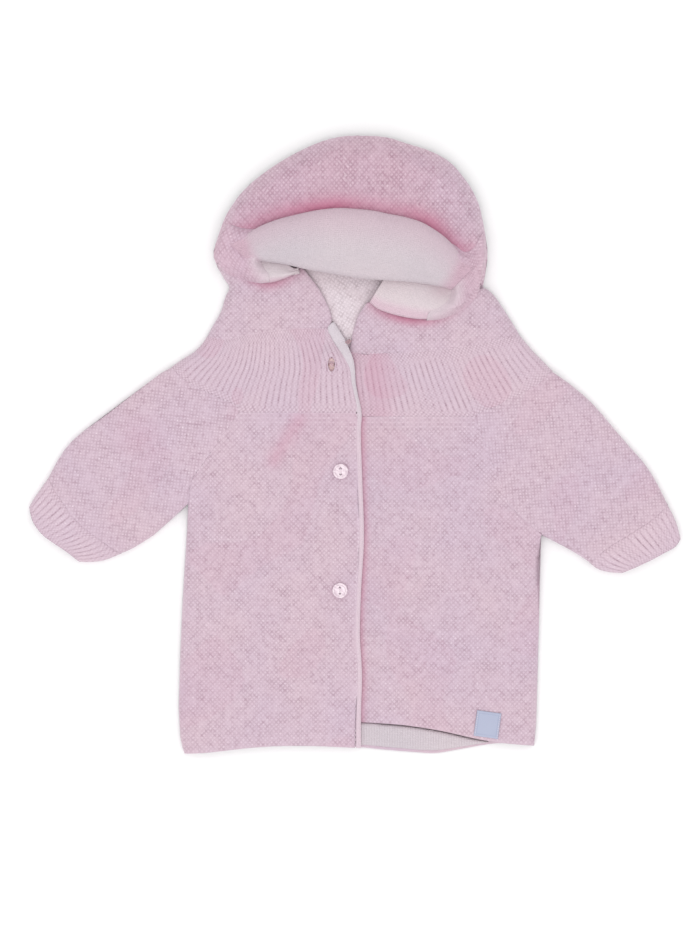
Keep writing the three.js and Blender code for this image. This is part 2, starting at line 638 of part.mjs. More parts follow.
function yokeLeft() {
  const seam = beside(smooth(YOKE_LINE_LEFT, 60), SEAM_SIDE);
  const edge = [...seam.slice(0, -2), ...beside(flipped(armholeLeft.slice(0, cornerLeft + 1)), SEAM_SIDE)];
  const neck = beside(smooth(NECK_LEFT, 60), -SEAM_SIDE);
  const inner = [seam[0], neck[0]];
  const plan = patch(edge, neck, inner, smooth(SHOULDER_LEFT, 30));
  const columns = 2 * Math.round(along(edge).total / RIB_PITCH);
  const heightAt = (x, y, u, v) => {
    const dip = yokeDip(v) * (1 - underlapShare(x));
    const distance = (1 - u) * plan.width(v);
    const heights = foldedHeights(underlapTop(x, y) - dip, distance, 1);
    return { ...heights, share: rounding(distance, FOLD_RADIUS) };
  };
  return ribbedYoke(plan, columns, heightAt, UNDERLAP_BLEND_FROM);
}

function yokeBack() {
  const outline = [
    ...beside(armholeRight.slice(0, cornerRight + 1), SEAM_SIDE).filter((_, i) => i % 4 === 0),
    new THREE.Vector3(-89.6, 25.4, 0), new THREE.Vector3(92.8, 22.4, 0),
    ...beside(flipped(armholeLeft.slice(0, cornerLeft + 1)), SEAM_SIDE).filter((_, i) => i % 4 === 0),
    ...smooth(SHOULDER_LEFT, 10).slice(1, -1), new THREE.Vector3(128.2, 84.7, 0),
    new THREE.Vector3(-114.7, 84.4, 0), ...flipped(smooth(SHOULDER_RIGHT, 10)).slice(1, -1),
  ];
  return plate(outline, 0, CLOTH);
}

// Sleeve and cuff as flattened tubes
function sleeve(lines, armhole, side) {
  const plan = patch(
    beside(armhole, -side * SEAM_SIDE), beside(smooth(lines.seam, 60), side * SEAM_SIDE),
    smooth(lines.upper, 60), smooth(lines.lower, 60),
  );
  const { around, along: reach, seams } = SPANS.sleeve;
  const us = stations(around, 12, ROUND_STEPS.slice(0, -1), ROUND_STEPS.slice(0, -1));
  const vs = stations(reach, 6, SEAM_STEPS, SEAM_STEPS);
  return tube(plan, us, vs, (x, y, u, v) => {
    const top = FRONT_TOP + foldRelief(x, y) - seamDip(v * seams) - seamDip((1 - v) * seams);
    return { plain: top, ribbed: top };
  });
}

function cuff(lines, side) {
  const plan = patch(
    beside(smooth(lines.seam, 60), -side * SEAM_SIDE), smooth(lines.end, 60),
    smooth(lines.cuffUpper, 30), smooth(lines.cuffLower, 30),
  );
  const width = along(lines.seam).total;
  const ribs = Math.round(width / RIB_PITCH);
  const us = Array.from({ length: 2 * ribs + 1 }, (_, k) => k / (2 * ribs));
  const vs = stations(SPANS.cuff, 2, [0, 2]);
  return tube(plan, us, vs, (x, y, u, v) => {
    const plain = FRONT_TOP - CUFF_DROP - seamDip(v * SPANS.cuff);
    const crest = Math.round(u * 2 * ribs) % 2 === 1 ? RIB_HEIGHT * ease(v / 0.1) : 0;
    return { plain, ribbed: plain + crest };
  });
}

// Hood: the crown's height between its silhouette (0) and the folded rim (1)
function crownTop(u, share) {
  const arch = 1 - Math.abs(2 * u - 1) ** 3;
  const peak = mix(HOOD.corner, HOOD.peak, arch);
  const rim = mix(HOOD.cornerRim, HOOD.rim, arch);
  const low = UPPER_BASE + EDGE_LIP;
  const risen = mix(low, peak, rounding(share, HOOD_PEAK_SHARE));
  return risen - (peak - rim) * ease((share - HOOD_PEAK_SHARE) / (HOOD_VALLEY - HOOD_PEAK_SHARE));
}

const CROWN_SHARES = [0, 0.012, 0.05, 0.11, 0.19, 0.27, 0.33, 0.4, 0.46, 0.6, 0.8, 1];

function hoodCrown() {
  const us = stations(SPANS.crown, 24);
  return sectionWall(hoodSilhouette, hoodRim, us, (u, length) => {
    const usable = length - BAND_NOSE;
    return CROWN_SHARES.map((share) => [share * usable, crownTop(u, share * usable / length)]);
  });
}

// Rolled rim band: it lies on the crown, turns round its edge and runs on inside as the lining
function bandWidthShare(u) {
  return 1 - HOOD_VALLEY * ease(Math.min(u, 1 - u) / 0.12) - 0.06 * Math.sin(Math.PI * u);
}

function hoodBand() {
  const us = stations(SPANS.band, 22).map((share) => mix(BAND_ENDS.from, BAND_ENDS.to, share));
  return sectionWall(hoodRim, hoodSilhouette, us, (u, length) => {
    const topAt = (s) => crownTop(u, 1 - Math.max(0, s) / length);
    const width = (length - 6) * bandWidthShare(u);
    const lift = GAP + CLOTH;
    const bulge = HOOD.bulge * ease(width / 40);
    const middle = topAt(BAND_NOSE) - CLOTH / 2;
    const nose = CLOTH / 2 + lift;
    const inside = Math.min(BAND_INSIDE, length * 0.4);
    const underAt = (s) => topAt(s) - CLOTH - lift - 0.4;
    return [
      [width, topAt(width) + GAP + 1, 0.9],
      [width - 1.6, topAt(width - 1.6) + lift + 0.6],
      [width * 0.84, topAt(width * 0.84) + lift + bulge * 0.75],
      [width * 0.66, topAt(width * 0.66) + lift + bulge],
      [width * 0.46, topAt(width * 0.46) + lift + bulge * 0.9],
      [width * 0.26, topAt(width * 0.26) + lift + bulge * 0.5],
      [Math.min(width * 0.14, 6), topAt(5) + lift + bulge * 0.15],
      [1, middle + nose * 0.66],
      [0, middle],
      [1, middle - nose * 0.7],
      [BAND_NOSE, underAt(BAND_NOSE)],
      [mix(BAND_NOSE, inside, 0.5), underAt(mix(BAND_NOSE, inside, 0.5))],
      [inside, underAt(inside)],
    ];
  });
}

// Lip of the face opening: its edge rolls over the hood's front and its lining runs inside
function hoodLip(lip, deep) {
  const us = stations(SPANS.lip, 12);
  return sectionWall(smooth(lip.edge, 60), smooth(lip.inside, 60), us, (u, length) => {
    const end = Math.sin(Math.PI * mix(0.12, 0.88, u));
    const peak = mix(HOOD.side + 4.4, HOOD.lip, end);
    const low = mix(HOOD.side + 3.6, deep, ease((length - 7) / 10));
    return [
      [0, HOOD.side + 1.6, 0.9],
      [0.5, mix(HOOD.side, peak, 0.66)],
      [length * 0.1, peak - 0.9],
      [length * 0.22, peak],
      [length * 0.42, mix(peak, low, 0.55)],
      [length * 0.62, mix(peak, low, 0.88)],
      [length, low],
    ];
  });
}

function hoodSide(lines, neckLine, outerFirst) {
  const [left, right] = outerFirst ? [lines.outer, lines.neck] : [lines.neck, lines.outer];
  const neck = beside(neckLine, SEAM_SIDE);
  const plan = patch(neck, smooth(lines.upper, 60), smooth(left, 40), smooth(right, 40));
  const { across, up } = SPANS.hoodSide;
  const [leftSteps, rightSteps] = outerFirst ? [ROUND_STEPS, FLAT_STEPS] : [FLAT_STEPS, ROUND_STEPS];
  const us = stations(across, 10, leftSteps, rightSteps);
  const vs = stations(up, 7, SEAM_STEPS, FLAT_STEPS);
  return sheet(plan, us, vs, ({ x, y, u, v }) => {
    const start = outerFirst ? overlapTop(x, y) : underlapTop(x, y);
    const swell = HOOD_SIDE_SWELL * Math.sin(Math.PI * v) * Math.sin(Math.PI * u);
    const full = mix(start, HOOD.side, ease(v)) - seamDip(v * up) + swell;
    const distance = (outerFirst ? u : 1 - u) * plan.width(v);
    return foldedHeights(Math.min(full, HOOD.side + 0.9), distance, 1);
  });
}

function hoodBack() {
  const outline = [
    new THREE.Vector3(-114.7, 85, 0), new THREE.Vector3(128.2, 85.3, 0),
    ...smooth(HOOD_SIDE_LEFT.outer, 10).slice(1), ...flipped(smooth(HOOD_SILHOUETTE, 64)),
    ...flipped(smooth(HOOD_SIDE_RIGHT.outer, 10)).slice(0, -1),
  ];
  return plate(outline, 0, CLOTH);
}

// Pale inside of the hood's back, seen in the neck opening
function neckLining() {
  const outline = smooth([...NECK_LINING, NECK_LINING[0]], 40).slice(0, -1);
  return plate(outline, UPPER_BASE, NECK_LINING_THICKNESS);
}

// Pale inside of the back, seen below the raised hem of the underlap
function hemLining() {
  const { thickness, from, to } = HEM_LINING;
  const hem = beside(smooth(HEM_FRONT_LEFT, 40), -2 * GAP);
  const upper = hem.filter((point) => point.x > from && point.x < to);
  return plate([...smooth(HEM_LINING_LOWER, 16), ...flipped(upper)], UPPER_BASE, thickness);
}

// Buttons with a raised rim, a dished face and two holes
function button(x, y, low) {
  const { radius, height, rim, dish, hole, holeSpacing } = BUTTON;
  const profile = [
    [0, 0], [radius - 1.2, 0], [radius - 0.2, 0.7], [radius, 1.3], [radius - 0.3, height - 0.2],
    [radius - rim / 2, height], [radius - rim, height - 0.2], [radius - rim - 0.6, height - dish],
    [0, height - dish],
  ].map(([r, z]) => new THREE.Vector2(r, z));
  const disc = new THREE.LatheGeometry(profile, 18);
  disc.rotateX(Math.PI / 2);
  let body = solid(disc);
  for (const side of [-1, 1]) {
    const bore = new THREE.CylinderGeometry(hole, hole, 4 * height, 10);
    bore.rotateX(Math.PI / 2);
    bore.translate(0, side * holeSpacing / 2, 0);
    body = body.subtract(solid(bore));
  }
  const geometry = fromSolid(body);
  geometry.translate(x, y, low);
  return geometry;
}

function hemLabel() {
  const turn = THREE.MathUtils.degToRad(LABEL.turn);
  const plan = (u, v) => {
    const across = (u - 0.5) * LABEL.width;
    const up = (v - 0.5) * LABEL.length;
    return {
      x: LABEL.x + across * Math.cos(turn) - up * Math.sin(turn),
      y: LABEL.y + across * Math.sin(turn) + up * Math.cos(turn),
    };
  };
  const steps = [0, 0.25, 0.5, 0.75, 1];
  return sheet(plan, steps, steps, ({ x, y }) => {
    const bottom = underlapTop(x, y) + 2 * GAP;
    return { bottom, top: bottom + LABEL.thickness };
  });
}

add('back_panel', bodyBack(), PINK);
add('yoke_back', yokeBack(), PINK_RIB);
add('hood_back', hoodBack(), PINK);
add('neck_lining', neckLining(), LINING);
add('hem_lining', hemLining(), LINING);
add('front_left', frontLeft(), PINK);
add('front_right', frontRight(), PINK);
add('placket_facing', placketFacing(), FACING);
add('yoke_front_left', yokeLeft(), PINK_RIB);
add('yoke_front_right', yokeRight(), PINK_RIB);
add('sleeve_right', sleeve(SLEEVE_RIGHT, armholeRight, 1), PINK);
add('sleeve_left', sleeve(SLEEVE_LEFT, armholeLeft, -1), PINK);
add('cuff_right', cuff(SLEEVE_RIGHT, 1), PINK_RIB);
add('cuff_left', cuff(SLEEVE_LEFT, -1), PINK_RIB);
add('hood_side_right', hoodSide(HOOD_SIDE_RIGHT, smooth(NECK_RIGHT, 40), true), PINK);
add('hood_side_left', hoodSide(HOOD_SIDE_LEFT, smooth(NECK_LEFT.slice(1), 60), false), PINK);
add('hood_crown', hoodCrown(), PINK);
add('hood_band', hoodBand(), LINING);
add('hood_lip_right', hoodLip(LIP_RIGHT, 9), LINING);
add('hood_lip_left', hoodLip(LIP_LEFT, 9), LINING);
for (const [place, spot] of Object.entries(BUTTON_SPOTS)) {
  add(`button_${place}`, button(spot.x, spot.y, overlapTop(spot.x, spot.y) + 2 * GAP), PEARL, 0.25);
}
const topButtonLow = underlapTop(TOP_BUTTON.x, TOP_BUTTON.y) + GAP;
add('button_top', button(TOP_BUTTON.x, TOP_BUTTON.y, topButtonLow), PEARL, 0.25);
add('hem_label', hemLabel(), LABEL_GREY);

export default cardigan;
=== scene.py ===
"""Baby's hooded knitted cardigan, laid flat on its back on a pale floor.

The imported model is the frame. Every piece stands on the same surface as its solid, with the knitting,
ribs, seams and finishes of the real garment. Outlines are in millimetres, meshes in metres.
"""

import logging
import math
from dataclasses import dataclass
from enum import Enum

import bmesh
import bpy
import numpy as np
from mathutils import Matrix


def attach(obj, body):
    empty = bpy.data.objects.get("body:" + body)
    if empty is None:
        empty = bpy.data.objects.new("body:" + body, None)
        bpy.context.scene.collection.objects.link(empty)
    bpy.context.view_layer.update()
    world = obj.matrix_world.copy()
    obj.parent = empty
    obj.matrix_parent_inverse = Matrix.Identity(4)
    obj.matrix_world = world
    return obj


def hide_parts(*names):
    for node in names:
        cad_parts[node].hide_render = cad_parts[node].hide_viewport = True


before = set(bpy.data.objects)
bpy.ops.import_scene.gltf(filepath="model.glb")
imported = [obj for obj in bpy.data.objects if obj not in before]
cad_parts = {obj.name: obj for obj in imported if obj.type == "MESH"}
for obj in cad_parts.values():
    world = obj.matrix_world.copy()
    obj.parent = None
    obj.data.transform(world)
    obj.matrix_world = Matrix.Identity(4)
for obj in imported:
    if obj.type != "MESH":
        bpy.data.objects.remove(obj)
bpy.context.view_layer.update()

Array = np.ndarray
Material = bpy.types.Material
Piece = bpy.types.Object
log = logging.getLogger("cardigan")

MM = 0.001
CLOTH = 2.6
GAP = 0.3
FRONT_TOP = 9.0
UPPER_BASE = CLOTH + GAP
UNDERLAP_DROP = CLOTH + 0.9
FOLD_RADIUS = 7.0
STITCH = 1.7
ROW = 1.75
RIB_PITCH = 5.0
TOP_BUTTON = (-18.3, 62.4)
HOOD_SIDE = 12.6
BAND_NOSE = 4.4
HOOD_PEAK_SHARE = 0.3
HOOD_CREST = 0.12
HOOD_VALLEY = 0.46


def line(*rows: tuple[float, ...]) -> Array:
    """Rows of a table as an array."""
    return np.array(rows, float)


def track(*numbers: float) -> Array:
    """Points of a plan from their places across and up, in turn."""
    return np.array(numbers, float).reshape(-1, 2)


BODY_SIDE_RIGHT = track(
    -133.4, -240.2, -136.6, -224, -137.3, -208, -136, -160, -134.2, -121, -131.5, -77, -129.5, -47,
)
BODY_SIDE_LEFT = track(
    140.4, -234, 141.2, -214, 142.7, -160, 143.5, -121, 142.3, -98, 144, -78, 144.6, -70,
)
HEM_RIGHT = track(
    -133.4, -240.2, -116, -239.4, -82, -235.6, -60, -234.2, -30, -234.2, 4.8, -235.6,
)
HEM_BACK_LEFT = track(
    4.8, -235.6, 25, -237.6, 47.6, -239.4, 62.4, -240.1, 81, -237.1, 108.4, -232.6, 121, -232.6, 140.4, -234,
)
HEM_FRONT_LEFT = track(
    -22, -215, 5.5, -216, 35, -217.6, 66, -222.2, 94, -228.4, 113, -231.6, 140.4, -233.4,
)
ARMHOLE_RIGHT = track(
    -142.7, 60.8, -134.5, 52.6, -127.1, 47.6, -112.3, 39.8, -103, 35.5, -92.5, 30.4, -90.6, 25.6, -94.5, 18.6,
    -104.5, 5.5, -117.8, -14, -127.1, -27, -129, -38, -129.5, -47,
)
ARMHOLE_LEFT = track(
    153.7, 57.7, 141.2, 46.8, 125.6, 38.6, 110.8, 30.2, 97.5, 25.4, 93.8, 21.8, 96.4, 12, 100.6, 1.6, 109.2, -20.3,
    115.4, -38.2, 125.6, -53, 137, -63.5, 144.6, -70,
)
YOKE_LINE_RIGHT = track(
    -90.6, 25.6, -60, 25, -30, 25, 0.7, 25,
)
YOKE_LINE_LEFT = track(
    -22, 21.8, 5, 21.8, 50, 22.2, 93.8, 21.8,
)
NECK_RIGHT = track(
    -114.7, 84.7, -101.4, 82.2, -89.7, 84.6, -66.3, 88.6, -42.9, 90.8, -21.4, 90.6,
)
NECK_LEFT = track(
    -22, 71, -4.7, 72.2, 7.8, 71.2, 35.1, 71.8, 66.3, 74.1, 89.7, 77.2, 113.1, 82.4, 128.2, 85,
)
SHOULDER_RIGHT = track(
    -142.7, 60.8, -134.9, 66.3, -124.8, 72.5, -118.6, 78.8, -114.7, 84.7,
)
SHOULDER_LEFT = track(
    153.7, 57.7, 145.1, 66.3, 138.8, 72.5, 133.4, 78.8, 128.2, 85,
)
PLACKET_EDGE = track(
    4.8, -235.6, 4.7, -208, 5.5, -178, 3.9, -148, 4.7, -115, 7, -72.5, 5.9, -33, 4.6, 10.9, 5.2, 25, 2.3, 39,
    0.5, 49.4, 0, 58.5, -1.6, 67.3, -4.3, 74.1, -7, 80.7, -12.5, 89.7, -16.2, 95.6,
)
FACING_LINE = track(
    0.8, -235.5, 0.7, -208, 1.5, -178, -0.1, -148, 0.7, -115, 3, -72.5, 1.9, -33, 0.6, 10.9, 1.5, 25, -1.2, 39,
    -3.4, 49.4, -4.4, 58.5, -8.8, 67.3, -13.3, 74.1, -17.9, 80.7, -21.4, 90.6, -18.6, 94.6,
)
HOOD_SILHOUETTE = track(
    -107.6, 140, -110, 147.4, -106.9, 160, -99.8, 178.6, -86.6, 197.3, -72.5, 209.8, -53.8, 222.3, -28.9, 234.6,
    -10, 239.6, 8, 240.2, 26, 238.6, 40, 234.2, 57.7, 228.5, 72.5, 220.6, 82.7, 209.8, 91.3, 197.3, 96.7, 184.9,
    100.6, 166.1, 103, 147.4, 101.4, 134.9, 99.8, 123.6,
)
HOOD_RIM = track(
    -95.9, 137.6, -86.6, 142.4, -76.4, 144.1, -55.4, 142, -39, 138.4, -16.4, 134.6, 6.2, 131, 28.1, 129.3,
    50.7, 127.4, 70, 123.8, 81.9, 120.2, 89.7, 119.6,
)
NECK_LINING = track(
    -84, 156, -72, 182, -40, 206, 8, 214, 52, 205, 76, 184, 86, 150, 78, 112, 48, 94, 14, 86, -8, 85, -44, 98,
    -76, 118,
)
HEM_LINING_LOWER = track(
    -18, -232.4, 8, -233.6, 30, -235.6, 62, -237.6, 86, -234.4, 104, -231.4,
)
SLEEVE_RIGHT: dict[str, Array] = {
    "upper": track(
        -142.7, 60.8, -156, 52.6, -171.6, 40.8, -188, 28.4, -204.4, 16, -220, 3.4, -229.5, -9, -238.4, -25,
    ),
    "lower": track(
        -129.5, -47, -144.3, -59.2, -157.6, -71, -167.7, -77.6, -181.7, -84.6,
    ),
    "seam": track(
        -238.4, -25, -230.9, -39, -216.8, -58.5, -205.1, -68.6, -191.1, -78.6, -181.7, -84.6,
    ),
    "end": track(
        -253.5, -48, -251.2, -58, -247.3, -65, -241.8, -71, -233.2, -77.2, -223.9, -83.5, -214.5, -91,
    ),
    "cuffUpper": track(
        -238.4, -25, -244.9, -34.4, -250.4, -42.4, -253.5, -48,
    ),
    "cuffLower": track(
        -181.7, -84.6, -194.2, -89.6, -205, -91.2, -214.5, -91,
    ),
}
SLEEVE_LEFT: dict[str, Array] = {
    "upper": track(
        153.7, 57.7, 166.1, 48.2, 181, 35.8, 193.4, 22.6, 203.6, 10.1, 214.5, -2.3, 225.4, -14.8, 234, -28,
        243.4, -46.8,
    ),
    "lower": track(
        144.6, -70, 161.5, -78.4, 172.4, -84.6, 182.5, -91.8,
    ),
    "seam": track(
        243.4, -46.8, 230.1, -58.5, 214.5, -68.6, 197.3, -79.4, 182.5, -91.8,
    ),
    "end": track(
        253.5, -73, 248.8, -79.4, 241, -83.8, 230.1, -89.7, 216.8, -95.9, 207.5, -99.8,
    ),
    "cuffUpper": track(
        243.4, -46.8, 247, -53.4, 250.4, -61.4, 253.5, -73,
    ),
    "cuffLower": track(
        182.5, -91.8, 188.4, -96.4, 196.5, -98.9, 207.5, -99.8,
    ),
}
LIP_RIGHT: dict[str, Array] = {
    "edge": track(
        -92.6, 135.4, -90, 133.6, -81.9, 129.1, -68.6, 125.6, -58.5, 127.5, -49.6, 131, -43, 134.4,
    ),
    "inside": track(
        -89, 138.4, -82, 140.4, -72, 145, -61, 147, -54, 141.6, -48.4, 137.4, -43.4, 136.2,
    ),
}
LIP_LEFT: dict[str, Array] = {
    "edge": track(
        11.2, 110.6, 16.6, 106, 30.4, 100.8, 50.7, 97.4, 68.6, 99.3, 79, 105, 85.6, 112,
    ),
    "inside": track(
        27, 136, 36, 137.6, 46, 137, 56, 134.6, 65, 129, 74, 121, 80, 118.6, 85, 117.4,
    ),
}
HOOD_SIDE_RIGHT: dict[str, Array] = {
    "upper": track(
        -107.4, 138.8, -100.6, 137.6, -91.3, 135.8, -81.9, 130.9, -68.6, 127.4, -58.5, 129.3, -49.1, 133.4,
        -40.6, 137.8,
    ),
    "outer": track(
        -114.7, 85.2, -111.5, 91.3, -104.5, 103.7, -100.6, 116.2, -97.6, 122.6, -101.4, 128.6, -107.4, 138.8,
    ),
    "neck": track(
        -21.4, 91.1, -18, 96.6, -25.7, 117.4, -40.6, 137.8,
    ),
}
HOOD_SIDE_LEFT: dict[str, Array] = {
    "upper": track(
        10.6, 112, 16.6, 108, 30.4, 102.8, 50.7, 99.4, 68.6, 101.3, 80.6, 107.6, 90.4, 116.8, 99.6, 122.6,
    ),
    "outer": track(
        128.2, 85.5, 124.8, 91.3, 117, 103.7, 108.4, 116.2, 103.6, 120.8, 99.6, 122.6,
    ),
    "neck": track(
        -4.7, 72.7, -3.6, 78, -1.6, 87.4, 3.1, 101.4, 10.6, 112,
    ),
}
# Soft folds: crest from one point to the other, half width and height
FOLDS = line(
    (-48, 20, -57, -34, 7, -1.3),
    (-63, 14, -70, -40, 8, 0.7),
    (-104, -30, -84, -92, 12, -0.9),
    (-118, -120, -96, -205, 14, 0.6),
    (-58, -120, -52, -196, 16, -0.7),
    (-96, -229, -12, -222, 4, 0.8),
    (48, 8, 58, -60, 11, -1),
    (84, -44, 96, -120, 13, 0.7),
    (118, -84, 104, -170, 12, -0.9),
    (44, -120, 60, -190, 15, -0.6),
    (-178, 16, -148, -10, 9, -1),
    (-206, -12, -176, -44, 10, -0.7),
    (176, 14, 150, -18, 9, -1),
    (214, -26, 184, -58, 10, -0.7),
)


def mix(a: Array, b: Array, share: Array) -> Array:
    """Value between a and b."""
    return a + (b - a) * share


def ease(value: Array) -> Array:
    """Smooth step from 0 to 1."""
    t = np.clip(value, 0, 1)
    return t * t * (3 - 2 * t)


def rounding(distance: Array, radius: float) -> Array:
    """Height share of a quarter round at a distance from its fold."""
    t = np.clip(np.asarray(distance, float) / radius, 0, 1)
    return np.sqrt(1 - (1 - t) ** 2)


def walk(path: Array, shares: Array) -> Array:
    """Points of a path at shares of its length."""
    steps = np.linalg.norm(np.diff(path, axis=0), axis=1)
    reach = np.concatenate([[0], np.cumsum(steps)])
    target = np.clip(shares, 0, 1) * reach[-1]
    return np.stack([np.interp(target, reach, path[:, k]) for k in range(path.shape[1])], axis=-1)


def smooth(rows: Array, count: int = 96) -> Array:
    """Centripetal Catmull-Rom curve through the rows, in equal steps."""
    ends = [2 * rows[0] - rows[1], *rows, 2 * rows[-1] - rows[-2]]
    pieces = []
    t = np.linspace(0, 1, 25)[:-1, None]
    for p0, p1, p2, p3 in zip(ends, ends[1:], ends[2:], ends[3:]):
        k0, k1, k2 = [max(np.linalg.norm(b - a), 1e-6) ** 0.5 for a, b in ((p0, p1), (p1, p2), (p2, p3))]
        m1 = (p1 - p0) / k0 - (p2 - p0) / (k0 + k1) + (p2 - p1) / k1
        m2 = (p2 - p1) / k1 - (p3 - p1) / (k1 + k2) + (p3 - p2) / k2
        h = [2 * t**3 - 3 * t**2 + 1, t**3 - 2 * t**2 + t, -2 * t**3 + 3 * t**2, t**3 - t**2]
        pieces.append(h[0] * p1 + h[1] * m1 * k1 + h[2] * p2 + h[3] * m2 * k1)
    return walk(np.vstack([*pieces, rows[-1:]]), np.linspace(0, 1, count + 1))


def beside(path: Array, gap: float) -> Array:
    """Path moved to the left of its direction by the gap."""
    step = np.gradient(path, axis=0)
    step /= np.linalg.norm(step, axis=1)[:, None]
    return path + gap * np.stack([-step[:, 1], step[:, 0]], axis=1)


def length_of(path: Array) -> float:
    """Length of a path."""
    return float(np.linalg.norm(np.diff(path, axis=0), axis=1).sum())


def distance_to(path: Array, x: Array, y: Array) -> Array:
    """Distance from each place to the nearest point of a path."""
    start, step = path[:-1], np.diff(path, axis=0)
    size = np.maximum((step**2).sum(1), 1e-9)
    best = np.full(x.shape, np.inf)
    for (sx, sy), (dx, dy), square in zip(start, step, size):
        share = np.clip(((x - sx) * dx + (y - sy) * dy) / square, 0, 1)
        best = np.minimum(best, (x - sx - share * dx) ** 2 + (y - sy - share * dy) ** 2)
    return np.sqrt(best)


@dataclass
class Patch:
    """Plan of a piece between four edge lines, with u across and v up."""

    bottom: Array
    top: Array
    left: Array
    right: Array

    def at(self, u: Array, v: Array) -> tuple[Array, Array]:
        """Places of a grid."""
        left = self._pinned(self.left, self.bottom[0], self.top[0])
        right = self._pinned(self.right, self.bottom[-1], self.top[-1])
        b, t = walk(self.bottom, u)[None], walk(self.top, u)[None]
        l, r = walk(left, v)[:, None], walk(right, v)[:, None]
        us, vs = u[None, :, None], v[:, None, None]
        low = mix(self.bottom[0], self.bottom[-1], us)
        high = mix(self.top[0], self.top[-1], us)
        spot = mix(b, t, vs) + mix(l, r, us) - mix(low, high, vs)
        return spot[..., 0], spot[..., 1]

    @staticmethod
    def _pinned(path: Array, start: Array, end: Array) -> Array:
        """Path drawn to new ends."""
        share = np.linspace(0, 1, len(path))[:, None]
        return path + (start - path[0]) * (1 - share) + (end - path[-1]) * share


@dataclass
class Lattice:
    """Rows and columns of stitches held inside an outline, in a frame turned by an angle."""

    outline: Array
    turn: float = 0.0
    pitch: float = STITCH
    row: float = ROW
    slip: float = 0.2

    def __post_init__(self) -> None:
        """Lays the lattice out."""
        c, s = math.cos(self.turn), math.sin(self.turn)
        self._back = np.array([[c, -s], [s, c]])
        self._local = self.outline @ self._back
        low, high = self._local.min(0), self._local.max(0)
        step = np.array([self.pitch, self.row])
        first = np.floor(low / step) - 1
        last = np.ceil(high / step) + 1
        self.i, self.j = np.meshgrid(np.arange(first[0], last[0] + 1), np.arange(first[1], last[1] + 1))
        p, q = self.i * self.pitch, self.j * self.row
        p = np.clip(p, low[0] + 1e-4, high[0] - 1e-4)
        floor, roof = self._span(p[0], 0)
        q = np.clip(q, floor[None], roof[None])
        start, end = self._span(q.ravel(), 1)
        self.p = np.clip(p, start.reshape(p.shape), end.reshape(p.shape))
        self.q = q
        self._start, self._end = start.reshape(p.shape), end.reshape(p.shape)
        inside = (p - self._start > self.pitch) & (self._end - p > self.pitch)
        inside &= (q - floor[None] > self.row) & (roof[None] - q > self.row)
        slips = np.random.default_rng(17).uniform(-self.slip, self.slip, (*p.shape, 2)) * self.pitch
        self._slips = slips * inside[..., None]

    def _span(self, values: Array, axis: int) -> tuple[Array, Array]:
        """Lowest and highest crossing of the outline at each value along an axis."""
        low, high = self._local[:, axis].min(), self._local[:, axis].max()
        values = np.clip(values, low + 1e-5, high - 1e-5)
        a, b = self._local, np.roll(self._local, -1, axis=0)
        lows, highs = np.full(values.shape, np.inf), np.full(values.shape, -np.inf)
        for start, end in zip(a, b):
            step = end[axis] - start[axis]
            if abs(step) < 1e-9:
                continue
            share = (values - start[axis]) / step
            hit = (share >= 0) & (share <= 1)
            other = start[1 - axis] + share * (end[1 - axis] - start[1 - axis])
            lows = np.where(hit, np.minimum(lows, other), lows)
            highs = np.where(hit, np.maximum(highs, other), highs)
        return lows, highs

    def places(self, inset: float = 0.0) -> tuple[Array, Array]:
        """x and y of the lattice, held inside the sides by an inset."""
        middle = (self._start + self._end) / 2
        low = np.minimum(self._start + inset, middle)
        high = np.maximum(self._end - inset, middle)
        spots = (np.stack([np.clip(self.p, low, high), self.q], axis=-1) + self._slips) @ self._back.T
        return spots[..., 0], spots[..., 1]

    def moss(self) -> Array:
        """Moss stitch: a bump of yarn, a pit beside it, and every other row a little prouder."""
        bumps = np.where((self.i + self.j) % 2 == 0, 1.0, -1.0)
        return 0.9 * bumps + 0.12 * np.where(self.j % 2 == 0, 1.0, -1.0)


def bell(away: Array, reach: float) -> Array:
    """1 at no distance, fading to nothing beyond a reach."""
    return np.exp(-((away / reach) ** 2))


def placed(name: str, data: bpy.types.ID) -> Piece:
    """New object of a mesh, light or camera, in the scene."""
    made = bpy.data.objects.new(name, data)
    bpy.context.scene.collection.objects.link(made)
    return made


def fold_relief(x: Array, y: Array) -> Array:
    """Height of the soft folds at each place."""
    rise = np.zeros_like(x)
    for x1, y1, x2, y2, reach, height in FOLDS:
        away = distance_to(np.array([[x1, y1], [x2, y2]]), x, y)
        rise += height * np.exp(-((away / reach) ** 2))
    return rise


def neck_rise(y: Array) -> Array:
    """Rise of the fronts towards the neck."""
    return 1.6 * ease((y - 38) / 50)


def overlap_top(x: Array, y: Array) -> Array:
    """Upper height of the overlapping front."""
    away = np.hypot(x - TOP_BUTTON[0], y - TOP_BUTTON[1])
    lift = 3.9 * (1 - ease((away - 7) / 11))
    return FRONT_TOP + neck_rise(y) + lift + fold_relief(x, y) * ease((-10 - x) / 20)


def covered(x: Array) -> Array:
    """Share of the underlap that lies under the other front."""
    return 1 - ease((x - 8) / 20)


def underlap_top(x: Array, y: Array) -> Array:
    """Upper height of the front that lies under the overlap."""
    return FRONT_TOP + neck_rise(y) - UNDERLAP_DROP * covered(x) + fold_relief(x, y) * (1 - covered(x))


def seam_dip(distance: Array) -> Array:
    """Groove of a seam at a distance from it."""
    return 0.45 * bell(distance, 1.8)


def folded(full: Array, distance: Array, share: Array, radius: float = FOLD_RADIUS) -> tuple[Array, Array]:
    """Heights of an upper layer that turns down to the back at an edge."""
    over = 1 - share * (1 - rounding(distance, radius))
    under = 1 - share * (1 - rounding(distance - CLOTH, radius - CLOTH))
    return mix(UPPER_BASE + 0.5, full, over), mix(UPPER_BASE, full - CLOTH, under)


